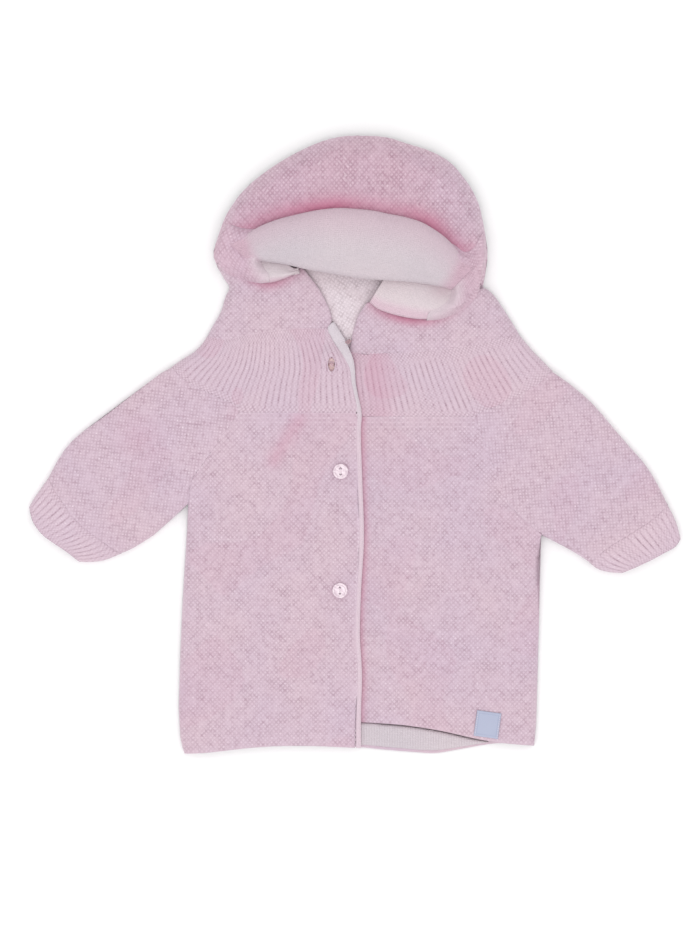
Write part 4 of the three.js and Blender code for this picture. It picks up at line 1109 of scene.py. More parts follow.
@dataclass
class Sleeves:
    """Sleeves and ribbed cuffs, each a flattened tube of cloth."""

    half: float = FRONT_TOP / 2
    relief: float = 0.34
    turns: tuple[float, float] = (127.4, 229.5)
    cuff_length: float = 26.0

    def _sleeve(self, side: str, lines: dict[str, Array], turn: float, way: int) -> Cloth:
        """One sleeve between its armhole and its rib seam.

        Args:
            side: right or left.
            lines: its outlines.
            turn: direction of its columns of stitches, in degrees.
            way: 1 or -1, the side of the armhole that it lies on.

        Returns:
            Its cloth.
        """
        hole = beside(ARMHOLE[side], -way * SEAM_SIDE)
        seam = beside(smooth(lines["seam"], 60), way * SEAM_SIDE)
        upper, lower = smooth(lines["upper"], 80), smooth(lines["lower"], 60)
        grid = Lattice(np.vstack([hole, lower[1:-1], seam[::-1], upper[1:-1][::-1]]), math.radians(turn))
        x, y = grid.places()
        folds = np.minimum(distance_to(upper, x, y), distance_to(lower, x, y))
        share = rounding(folds, self.half)
        dips = seam_dip(distance_to(hole, x, y)) + 0.5 * seam_dip(distance_to(seam, x, y))
        ends = np.minimum(distance_to(hole, x, y), distance_to(seam, x, y))
        yarn = grid.moss() * uneven(x.shape, 41 + way) * ease(ends / 1.4)
        full = FRONT_TOP + fold_relief(x, y) - dips + 0.3 * slow_noise(x, y, 48, 8 + way)
        top = mix(self.half, full, share) + self.relief * yarn * share
        low = mix(self.half, 0.34 - 0.32 * yarn, share)
        xi, yi = grid.places(CLOTH)
        inner_folds = np.minimum(distance_to(upper, xi, yi), distance_to(lower, xi, yi)) - CLOTH
        inner_share = rounding(inner_folds, self.half - CLOTH)
        inner_top = mix(self.half, np.minimum(full - CLOTH, top - 1.2), inner_share)
        inner_low = mix(self.half, CLOTH, inner_share)
        shade = np.hypot(x + 168, y - 6)
        deep = 0.14 * bell(shade, 16) * (way > 0) + 0.05 * (slow_noise(x, y, 70, 9) > 0.3)
        outer = self._ring(stack(x, y, top), stack(x, y, low))
        inner = self._ring(stack(xi, yi, inner_top), stack(xi, yi, inner_low))
        return Cloth(
            f"sleeve_{side}_cloth", outer, inner, self._ring(yarn, yarn), self._ring(deep, 0 * deep), ring=True,
        )

    @staticmethod
    def _ring(top: Array, low: Array) -> Array:
        """Rows that run over the top and back under it."""
        return np.concatenate([top, low[:, -2:0:-1]], axis=1)

    def _cuff(self, side: str, lines: dict[str, Array], way: int) -> Cloth:
        """One ribbed cuff.

        Args:
            side: right or left.
            lines: its outlines.
            way: 1 or -1, the side of the seam that it lies on.

        Returns:
            Its cloth.
        """
        seam = beside(smooth(lines["seam"], 60), -way * SEAM_SIDE)
        end = smooth(lines["end"], 60)
        plan = Patch(seam, end, smooth(lines["cuffUpper"], 30), smooth(lines["cuffLower"], 30))
        ribs = round(length_of(smooth(lines["seam"], 60)) / RIB_PITCH)
        u, v = np.linspace(0, 1, ribs * 7 + 1), np.linspace(0, 1, 30)
        x, y = plan.at(u, v)
        width = np.linalg.norm(np.stack([x[:, -1] - x[:, 0], y[:, -1] - y[:, 0]]), axis=0)[:, None]
        away = np.minimum(u, 1 - u)[None] * width
        share = rounding(away, self.half)
        clear = np.clip(0.6 + 0.6 * slow_noise(x, y, 24, 23), 0.15, 1)
        fade = (ease(v / 0.22) * ease((1.02 - v) / 0.25))[:, None] * share * clear
        crest = Yokes.crest(u * ribs)[None]
        loops = np.where(np.arange(len(v)) % 2 == 0, 0.5, -0.5)[:, None] * crest
        moss = 0.7 * checks((len(v), len(u)), 2)
        yarn = mix(moss, 1.9 * crest - 1.25 + 0.6 * loops, fade) * uneven(x.shape, 51 + way)
        dip = 0.5 * seam_dip(v * self.cuff_length)[:, None]
        roll = 0.8 * ease((v - 0.86) / 0.14)[:, None]
        top = mix(self.half, FRONT_TOP - 0.5 - dip - roll + 0.5 * (crest - 0.3) * fade + 0.16 * yarn, share)
        low = mix(self.half, 0.7 * (1 - crest) * fade + 0.02 + 0.4 * roll, share)
        inset = (CLOTH + u[None] * (width - 2 * CLOTH)) / width
        xi, yi = mix(x[:, :1], x[:, -1:], inset), mix(y[:, :1], y[:, -1:], inset)
        bend = 1 - (2 * u[None] - 1) ** 2
        xi = mix(x, xi, 1 - bend)
        yi = mix(y, yi, 1 - bend)
        inner_share = rounding(np.minimum(inset, 1 - inset) * width - CLOTH, self.half - CLOTH)
        inner_top = mix(self.half, FRONT_TOP - 0.6 - CLOTH - dip - roll, inner_share)
        inner_low = mix(self.half, CLOTH, inner_share)
        grain = np.stack([np.broadcast_to(u[None] * 80, x.shape), np.broadcast_to(v[:, None] * 26, x.shape)], -1)
        outer = self._ring(stack(x, y, top), stack(x, y, low))
        inner = self._ring(stack(xi, yi, inner_top), stack(xi, yi, inner_low))
        return Cloth(
            f"cuff_{side}_cloth", outer, inner, self._ring(yarn, yarn), grain=self._ring(grain, grain), ring=True,
        )

    def make(self, knit: Material, rib: Material) -> None:
        """Builds sleeves and cuffs."""
        for side, lines, turn, way in (("right", SLEEVE_RIGHT, self.turns[0], 1),
                                       ("left", SLEEVE_LEFT, self.turns[1], -1)):
            lay(self._sleeve(side, lines, turn, way), knit, "pink_knit")
            lay(self._cuff(side, lines, way), rib, "pink_rib")


def nearest(path: Array, x: Array, y: Array) -> tuple[Array, Array]:
    """Distance from each place to a path, and the share of its length there."""
    spots = np.stack([x.ravel(), y.ravel()], axis=-1)
    away = np.full(len(spots), np.inf)
    share = np.zeros(len(spots))
    for k, point in enumerate(path):
        reach = np.hypot(spots[:, 0] - point[0], spots[:, 1] - point[1])
        closer = reach < away
        away = np.where(closer, reach, away)
        share = np.where(closer, k / (len(path) - 1), share)
    return away.reshape(x.shape), share.reshape(x.shape)


def crown_top(u: Array, share: Array) -> Array:
    """Height of the hood's crown between its silhouette (0) and the folded rim (1)."""
    arch = 1 - np.abs(2 * u - 1) ** 3
    peak, rim = mix(19.0, 32.0, arch), mix(16.5, 21.0, arch)
    risen = mix(UPPER_BASE + 0.5, peak, rounding(share, HOOD_PEAK_SHARE))
    return risen - (peak - rim) * ease((share - HOOD_CREST) / (HOOD_VALLEY - HOOD_CREST))


def band_width(u: Array, length: Array) -> Array:
    """Width of the rolled rim along the face opening."""
    return (length - 6) * (1 - HOOD_VALLEY * ease(np.minimum(u, 1 - u) / 0.12) - 0.06 * np.sin(math.pi * u))


@dataclass
class Hood:
    """Crown, sides, rolled rim and the two rolled lips of the face opening."""

    relief: float = 0.42
    pitch: float = 1.77
    row: float = 2.0
    bulge: float = 7.0
    inside: float = 22.0
    lip_peak: float = 20.5
    lift: float = GAP + CLOTH
    tuck: float = 1.0
    band_rows: int = 150
    band_points: int = 72
    band_start: float = 0.07
    band_run: float = 205.0
    lip_rows: int = 84
    lip_points: int = 36

    def crown(self) -> Cloth:
        """The crown, puffed up behind the rim."""
        grid = Lattice(np.vstack([SILHOUETTE, beside(RIM, BAND_NOSE)[::-1]]), 0.0, self.pitch, self.row)
        x, y = grid.places()
        back, u_back = nearest(SILHOUETTE, x, y)
        front, u_front = nearest(RIM, x, y)
        share = back / (back + front)
        u = mix(u_back, u_front, share)
        u = self._even(u)
        top = crown_top(u, share) + 0.5 * slow_noise(x, y, 60, 13) * ease(share / 0.3)
        top = self._even(top)
        slope = np.hypot(*np.gradient(top, grid.row, grid.pitch))
        yarn = 1.5 * grid.moss() * uneven(x.shape, 61) * ease(back / 1.2)
        length = back + front
        border = 1 - band_width(u, length) / length
        # Painted shade: the whole crown a little darker, less towards the right, and a stronger painted shade in the
        # valley along the rim's upper edge, strongest at two places.
        rosy = 0.42 + 0.4 * (bell((u - 0.34), 0.12) + bell((u - 0.84), 0.1))
        valley = bell((share - border + 0.02) * length, 8.5) * ease(np.minimum(u, 1 - u) / 0.12)
        deep = 0.17 - 0.07 * ease((x - 30) / 60) + rosy * valley
        thick = CLOTH * np.sqrt(1 + np.minimum(slope, 3.0) ** 2)
        under = np.clip(top - thick, UPPER_BASE, top - 0.8)
        return Cloth("hood_crown_cloth", stack(x, y, top + self.relief * yarn), stack(x, y, under), yarn, deep)

    @staticmethod
    def _even(values: Array) -> Array:
        """Values evened out between neighbours, the edge of the grid kept."""
        made = values.copy()
        for _ in range(3):
            around = made[:-2, 1:-1] + made[2:, 1:-1] + made[1:-1, :-2] + made[1:-1, 2:]
            made[1:-1, 1:-1] = 0.5 * made[1:-1, 1:-1] + 0.125 * around
        return made

    @staticmethod
    def _sweep(name: str, start: Array, finish: Array, paths: Array, thick: Array, **numbers: Array) -> Cloth:
        """Cloth swept along a line from sections that stand across it."""
        across = (finish - start) / np.linalg.norm(finish - start, axis=1)[:, None]
        step = np.gradient(paths, axis=1)
        step /= np.linalg.norm(step, axis=2)[..., None]
        inset = paths + thick[None, :, None] * np.stack([step[..., 1], -step[..., 0]], axis=-1)

        def place(path: Array) -> Array:
            """Points of the sections in the garment's frame."""
            spot = start[:, None] + across[:, None] * path[..., :1]
            return np.concatenate([spot, path[..., 1:]], axis=-1)

        return Cloth(name, place(paths), place(inset), **numbers)

    def band(self) -> Cloth:
        """The rolled rim: it lies on the crown, turns round its edge and runs on inside."""
        us = np.linspace(self.band_start, 1 - self.band_start, self.band_rows)
        start, finish = walk(RIM, us), walk(SILHOUETTE, us)
        paths = []
        for u, length in zip(us, np.linalg.norm(finish - start, axis=1)):
            paths.append(smooth(self._band_section(float(u), float(length)), self.band_points))
        paths = np.array(paths)
        rows = np.arange(self.band_points + 1)[None]
        edge = np.minimum(us - self.band_start, 1 - self.band_start - us)[:, None]
        outer_part = 1 - ease((rows - 4) / 30)
        ends = 1 - ease(edge / 0.08)
        pale = np.clip(0.55 * outer_part + ends, 0, 1) * (1 - ease((rows - 58) / 8))
        moss = checks((self.band_rows, self.band_points + 1))
        yarn = moss * uneven(moss.shape, 71) * (0.25 + 0.75 * np.clip(ends + 0.6 * outer_part - 0.2, 0, 1))
        paths[..., 1] += 0.2 * yarn * (rows < 50) + 0.35 * slow_noise(us[:, None] * self.band_run + 0 * rows,
                                                                      rows * 1.1 + 0 * us[:, None], 26, 15)
        thick = np.full(self.band_points + 1, CLOTH)
        thick[:3] = (0.9, 1.4, 2.0)
        # Painted shade round the rim's nose and on its part inside the hood.
        deep = 0.55 * ease((rows - 47) / 12) + 0 * edge
        run = np.cumsum(np.pad(np.linalg.norm(np.diff(paths, axis=1), axis=2), ((0, 0), (1, 0))), axis=1)
        grain = np.stack([np.broadcast_to(us[:, None] * self.band_run, run.shape), run], axis=-1)
        return self._sweep("hood_band_cloth", start, finish, paths, thick, yarn=yarn, deep=deep, pale=pale,
                           grain=grain)

    def _band_section(self, u: float, length: float) -> Array:
        """Section of the rolled rim as run and height."""
        width = band_width(np.array(u), np.array(length)).item()
        bulge = self.bulge * float(ease(np.array((width - 8) / 34)))

        def top(run: float) -> float:
            """Crown's height at a run from the rim."""
            return float(crown_top(np.array(u), np.array(1 - max(0.0, run) / length)))

        lift = self.lift
        middle = top(BAND_NOSE) - CLOTH / 2
        nose = CLOTH / 2 + lift
        inside = min(self.inside, length * 0.4)
        half = (BAND_NOSE + inside) / 2
        return line(
            (width, top(width) + GAP + 1), (width - 1.6, top(width - 1.6) + lift + 0.6),
            (width * 0.84, top(width * 0.84) + lift + bulge * 0.75), (width * 0.66, top(width * 0.66) + lift + bulge),
            (width * 0.46, top(width * 0.46) + lift + bulge * 0.9), (width * 0.26,
                                                                     top(width * 0.26) + lift + bulge * 0.5),
            (min(width * 0.14, 6), top(5) + lift + bulge * 0.15), (1, middle + nose * 0.66), (0, middle),
            (1, middle - nose * 0.7), (BAND_NOSE, top(BAND_NOSE) - CLOTH - lift - 0.4),
            (half, top(half) - CLOTH - lift - 0.4), (inside, top(inside) - CLOTH - lift - 0.4),
        )

    def lip(self, side: str, lip: dict[str, Array], deep: float) -> Cloth:
        """Lip of the face opening: it rolls over the hood's side and its lining runs inside.

        Args:
            side: right or left.
            lip: its outlines.
            deep: lowest height of its lining.

        Returns:
            Its cloth.
        """
        us = np.linspace(0, 1, self.lip_rows)
        start, finish = walk(smooth(lip["edge"], 60), us), walk(smooth(lip["inside"], 60), us)
        paths = []
        for u, length in zip(us, np.linalg.norm(finish - start, axis=1)):
            end = math.sin(math.pi * (0.12 + 0.76 * u))
            peak = mix(HOOD_SIDE + 4.4, self.lip_peak, end)
            low = mix(HOOD_SIDE + 3.6, deep, float(ease(np.array((length - 7) / 14))))
            rows = line(
                (0, HOOD_SIDE + 1.6), (0.5, mix(HOOD_SIDE, peak, 0.66)), (length * 0.1, peak - 0.9), (length * 0.22,
                                                                                                      peak),
                (length * 0.42, peak - 1.2), (length * 0.6, mix(peak - 1.2, low, 0.45)), (length * 0.76, low + 0.8),
                (length, low),
            )
            paths.append(smooth(rows, self.lip_points))
        paths = np.array(paths)
        rows = np.arange(self.lip_points + 1)[None]
        moss = checks((self.lip_rows, self.lip_points + 1))
        pink = 1 - ease((rows - 5) / 8) + 0 * us[:, None]
        yarn = moss * uneven(moss.shape, 81) * (0.2 + 0.8 * pink)
        paths[..., 1] += 0.18 * yarn * (rows < 30)
        thick = np.full(self.lip_points + 1, CLOTH)
        thick[:3] = (0.9, 1.3, 2.0)
        x = mix(start[:, None, 0], finish[:, None, 0], rows / self.lip_points)
        y = mix(start[:, None, 1], finish[:, None, 1], rows / self.lip_points)
        shade = 0.1 * ease((rows - 26) / 10)
        if side == "left":
            shade = shade + 0.3 * bell(np.hypot(x - 66, y - 122), 8)
        run = np.cumsum(np.pad(np.linalg.norm(np.diff(paths, axis=1), axis=2), ((0, 0), (1, 0))), axis=1)
        grain = np.stack([np.broadcast_to(us[:, None] * 90, run.shape), run], axis=-1)
        return self._sweep(
            f"hood_lip_{side}_cloth", start, finish, paths, thick, yarn=yarn, deep=np.clip(shade + 0 * x, 0,
                                                                                           1), pale=pink,
            grain=grain,
        )

    def side(self, side: str, lines: dict[str, Array], neck: Array, lip: Array) -> Cloth:
        """Front part of the hood from the neck seam up to the lip.

        Args:
            side: right or left.
            lines: its outlines.
            neck: the neck seam.
            lip: edge of the lip over it.

        Returns:
            Its cloth.
        """
        seam = beside(smooth(neck, 60), SEAM_SIDE - self.tuck)
        upper, outer, inner = smooth(lines["upper"], 60), smooth(lines["outer"], 40), smooth(lines["neck"], 40)
        right, left = (inner, outer) if side == "right" else (outer, inner)
        grid = Lattice(np.vstack([seam, right[1:-1], upper[::-1], left[1:-1][::-1]]), math.pi / 2)
        x, y = grid.places()
        from_seam, from_upper = distance_to(seam, x, y), distance_to(upper, x, y)
        from_outer, from_inner = distance_to(outer, x, y), distance_to(inner, x, y)
        v = from_seam / (from_seam + from_upper)
        u = from_outer / (from_outer + from_inner)
        start = overlap_top(x, y) if side == "right" else underlap_top(x, y)
        swell = 1.2 * np.sin(math.pi * v) * np.sin(math.pi * u)
        full = np.minimum(mix(start, HOOD_SIDE, ease(v)) - seam_dip(from_seam) * 0.8 + swell, HOOD_SIDE + 0.9)
        full = full - 1.0 * (1 - rounding(from_inner, 3.0))
        top, low = folded(full, from_outer, 1.0)
        edge = np.minimum.reduce([from_seam, from_outer, from_inner])
        yarn = grid.moss() * uneven(x.shape, 91 + len(side)) * ease(edge / 1.3)
        # Painted shade on the side just under the lip's roll.
        centre = (-66.0, 126.0) if side == "right" else (40.0, 99.0)
        window = np.exp(-(((x - centre[0]) / (20 if side == "right" else 27)) ** 2))
        deep = (0.6 if side == "right" else 0.85) * window * bell(distance_to(lip, x, y), 5.0)
        under = np.minimum(low, top - 0.8)
        return Cloth(f"hood_side_{side}_cloth", stack(x, y, top + self.relief * yarn), stack(x, y, under), yarn, deep)

    def make(self, knit: Material, lining: Material, lip: Material) -> None:
        """Builds the hood."""
        edges = smooth(LIP_RIGHT["edge"], 60), smooth(LIP_LEFT["edge"], 60)
        sides = self.side("right", HOOD_SIDE_RIGHT, NECK_RIGHT, edges[0]), self.side("left", HOOD_SIDE_LEFT,
                                                                                     NECK_LEFT[1:], edges[1])
        lips = self.lip("right", LIP_RIGHT, 15.0), self.lip("left", LIP_LEFT, 14.4)
        crown, band = self.crown(), self.band()
        corners = Corners().make([crown, band, *lips, *sides], knit)
        lay(sides[0], knit, "pink_knit")
        lay(sides[1], knit, "pink_knit")
        lay(crown, knit, "pink_knit")
        lay(band, lining, "pale_lining")
        # The lips wear the lining painted lighter, against the shade under the rim.
        lay(lips[0], lip, "pale_lining")
        lay(lips[1], lip, "pale_lining")


CORNER_RIGHT = {
    "silhouette": line((-102.6, 170), (-106.6, 161.5), (-108.2, 155.8), (-109.0, 147.4), (-107.6, 141.2),
                       (-104.6, 136.2), (-98.2, 131.4)),
    "lip": line((-98.2, 131.4), (-88.1, 128.6), (-80.3, 126.4), (-72.5, 125.2), (-66.3, 126)),
    "opening": line((-66.3, 126), (-66.3, 131), (-70.2, 136.5), (-72.5, 142), (-69.4, 149), (-66.3, 157.6)),
    "rim": line((-66.3, 157.6), (-72.5, 166.1), (-81.9, 166.9), (-89.7, 168), (-96.5, 170), (-102.6, 170)),
}
CORNER_LEFT = {
    "silhouette": line((100.4, 166.5), (101.8, 156), (102.2, 145.9), (100.2, 134.9), (98.3, 124.8), (95.2, 116.2)),
    "lip": line((95.2, 116.2), (89.7, 109.6), (82.7, 104.1), (74.1, 99.8), (64.7, 97.1), (55.4, 96.3)),
    "opening": line((55.4, 96.3), (56.9, 102.2), (66.3, 106.9), (73.3, 113.9), (74.1, 123.2), (69.4, 131),
                    (64.7, 141.2), (60.1, 150.5)),
    "rim": line((60.1, 150.5), (66.3, 156.8), (75.7, 155.2), (85, 149), (91.8, 152.1), (96.6, 161), (100.4, 166.5)),
}


@dataclass
class Corners:
    """Knit that rolls round the two ends of the face opening, from the crown over the rim to the lips."""

    low: tuple[float, float] = (-122.0, 84.0)
    high: tuple[float, float] = (118.0, 182.0)
    thickness: float = 1.7
    rounds: int = 70
    fold: float = 10.0
    rise: float = 27.0
    relief: float = 0.34

    def _fields(self, clothes: list[Cloth]) -> tuple[Array, Array]:
        """Heights of what lies under the corners, plain and with the knit drawn across its hollows."""
        shape = (round(self.high[1] - self.low[1]) + 1, round(self.high[0] - self.low[0]) + 1)
        plain = np.full(shape, -np.inf)
        for cloth in clothes:
            points = self._closer(cloth.outer)
            column, row = (np.round(points[:, k] - self.low[k]).astype(int) for k in (0, 1))
            held = (column >= 0) & (column < shape[1]) & (row >= 0) & (row < shape[0])
            np.maximum.at(plain, (row[held], column[held]), points[held, 2])
        hollow = ~np.isfinite(plain)
        plain = np.where(hollow, HOOD_SIDE, plain)
        for _ in range(self.rounds):
            plain = np.where(hollow, self._around(plain), plain)
        drawn = plain
        for _ in range(4 * self.rounds):
            drawn = np.maximum(plain, self._around(drawn))
        for _ in range(8):
            drawn = self._around(drawn)
        return plain, drawn

    @staticmethod
    def _closer(grid: Array) -> Array:
        """Points of a grid with three more between each two."""
        for axis in (0, 1):
            a = np.take(grid, range(grid.shape[axis] - 1), axis)
            b = np.take(grid, range(1, grid.shape[axis]), axis)
            grid = np.concatenate([mix(a, b, share) for share in (0, 0.25, 0.5, 0.75)], axis=axis)
        return grid.reshape(-1, 3)

    @staticmethod
    def _around(field: Array) -> Array:
        """Mean of the four neighbours of each cell."""
        wide = np.pad(field, 1, mode="edge")
        return (wide[:-2, 1:-1] + wide[2:, 1:-1] + wide[1:-1, :-2] + wide[1:-1, 2:]) / 4

    def _height(self, field: Array, x: Array, y: Array) -> Array:
        """Height of a field at each place."""
        row, column = y - self.low[1], x - self.low[0]
        i, j = np.floor(row).astype(int), np.floor(column).astype(int)
        near = mix(field[i, j], field[i, j + 1], column - j)
        return mix(near, mix(field[i + 1, j], field[i + 1, j + 1], column - j), row - i)

    def _corner(self, side: str, lines: dict[str, Array], fields: tuple[Array, Array]) -> Cloth:
        """One corner of the face opening."""
        smoothed = {name: smooth(rows, 60) for name, rows in lines.items()}
        silhouette, lip, opening, rim = smoothed.values()
        if side == "right":
            plan = Patch(lip, rim[::-1], silhouette[::-1], opening)
        else:
            plan = Patch(lip[::-1], rim, opening, silhouette[::-1])
        across, up = round(length_of(rim) / STITCH), round(length_of(opening) / STITCH)
        x, y = plan.at(np.linspace(0, 1, across + 1), np.linspace(0, 1, up + 1))
        outer_away = distance_to(smoothed["silhouette"], x, y)
        joins = [distance_to(smoothed[name], x, y) for name in ("lip", "opening", "rim")]
        edge = np.minimum.reduce(joins)
        plain, drawn = (self._height(field, x, y) for field in fields)
        full = mix(plain + 0.1, drawn + self.thickness, ease(edge / 6.0))
        ceiling = UPPER_BASE + 0.5 + self.rise * rounding(outer_away, self.fold)
        top = np.maximum(np.minimum(full, ceiling), np.minimum(plain, ceiling + 2 * GAP) + 0.1)
        moss = checks(x.shape)
        yarn = moss * uneven(x.shape, 131) * ease(np.minimum(edge, outer_away) / 1.5)
        pale = 0.9 * (1 - ease(joins[1] / 15)) * ease(outer_away / 9)
        under = np.clip(top - self.thickness, UPPER_BASE, top - 0.4)
        # A weak painted shade over the whole corner, as on the crown.
        return Cloth(f"hood_corner_{side}", stack(x, y, top + self.relief * yarn), stack(x, y, under), yarn, 0.14,
                     pale)

    def make(self, clothes: list[Cloth], knit: Material) -> tuple[Piece, ...]:
        """Builds both corners over the hood's other clothes."""
        fields = self._fields(clothes)
        pair = (("right", CORNER_RIGHT), ("left", CORNER_LEFT))
        return tuple(dress(self._corner(side, lines, fields).build(), knit, "pink_knit") for side, lines in pair)


@dataclass
class Linings:
    """Pale inside of the hood, seen in the neck opening, and of the back, seen at the hem."""

    swell: float = 3.2
    tongue: float = 13.0
    hem_rise: float = 2.9

    def neck(self) -> Cloth:
        """Inside of the hood's back, in the wide neck opening."""
        lowered = NECK_LINING - line((0, 1)) * self.tongue * ease((100 - NECK_LINING[:, 1:]) / 14)
        outline = smooth(np.vstack([lowered, lowered[:1]]), 160)
        grid = Lattice(outline[:-1], math.radians(12))
        x, y = grid.places()
        edge = distance_to(outline, x, y)
        yarn = grid.moss() * uneven(x.shape, 101) * ease(edge / 1.5)
        crown = self.swell * ease(edge / 22)
        top = UPPER_BASE + 1.6 + crown + 0.36 * yarn
        low = UPPER_BASE + crown
        # Painted shade along the hood sides' edges over the lining.
        lap = distance_to(np.vstack([smooth(HOOD_SIDE_RIGHT["neck"], 30), smooth(HOOD_SIDE_LEFT["neck"], 30)[::-1]]),
                          x, y)
        deep = 0.14 * bell(lap, 5)
        return Cloth("neck_lining_cloth", stack(x, y, top), stack(x, y, low), yarn, deep)

    def hem(self) -> Cloth:
        """Inside of the back, below the raised hem of the underlap."""
        upper = beside(smooth(HEM_FRONT_LEFT, 40), -2 * GAP)
        upper = upper[(upper[:, 0] > -18) & (upper[:, 0] < 104)]
        outline = np.vstack([smooth(HEM_LINING_LOWER, 40), upper[::-1]])
        grid = Lattice(outline, 0.0, 1.0, 1.2)
        x, y = grid.places()
        edge = distance_to(np.vstack([outline, outline[:1]]), x, y)
        yarn = np.where(grid.i % 2 == 0, 0.7, -0.7) * ease(edge / 1.2)
        top = UPPER_BASE + self.hem_rise + 0.14 * yarn - 1.8 * (1 - rounding(edge, 3.0))
        # Painted shade under the underlap's hem edge.
        deep = 0.2 * bell(distance_to(upper, x, y), 1.6)
        grain = np.stack([x, y], axis=-1)
        return Cloth("hem_lining_cloth", stack(x, y, top), stack(x, y, UPPER_BASE), yarn, deep, grain=grain)

    def make(self, moss: Material, jersey: Material) -> None:
        """Builds both linings."""
        lay(self.neck(), moss, "pale_lining")
        lay(self.hem(), jersey, "pale_lining")


@dataclass
class Placket:
    """The facing that turns round the overlap's edge."""

    columns: int = 15
    row: float = 1.1

    def facing(self) -> Cloth:
        """Builds the facing's form."""
        v = np.linspace(0, 1, round(length_of(EDGE) / self.row))
        inside, edge = walk(FACING_INSIDE, v), walk(EDGE, v)
        share = np.linspace(0, 1, self.columns)[None]
        x, y = mix(inside[:, :1], edge[:, :1], share), mix(inside[:, 1:], edge[:, 1:], share)
        base = overlap_top(inside[:, :1], inside[:, 1:])
        crown = 0.45 * np.sin(math.pi * np.clip(share, 0, 1)) - 0.3 - 1.0 * (1 - rounding(1 - share, 0.3))
        yarn = 0.5 * checks(x.shape)
        yarn = yarn * uneven(x.shape, 111)
        wave = 0.25 * slow_noise(x, y, 60, 3) - 1.2 * (1 - ease((y + 235.6) / 3.0))
        top = base + crown + wave + 0.1 * yarn
        low = base - CLOTH + 0.7 * ease((share - 0.8) / 0.2) + 0 * yarn
        rosy = 0.9 * ease((50 - y) / 50) + 0 * share
        # Painted shade where the facing turns down at the overlap's edge, stronger low down.
        deep = 0.25 * bell((1 - share), 0.12) * rosy
        grain = np.stack([share * 4 + 0 * v[:, None], v[:, None] * 330 + 0 * share], axis=-1)
        return Cloth("placket_facing_cloth", stack(x, y, top), stack(x, y, low), yarn, deep, rosy, grain, opened=2.0)

    def make(self, finish: Material) -> None:
        """Builds the facing."""
        lay(self.facing(), finish, "placket_facing")


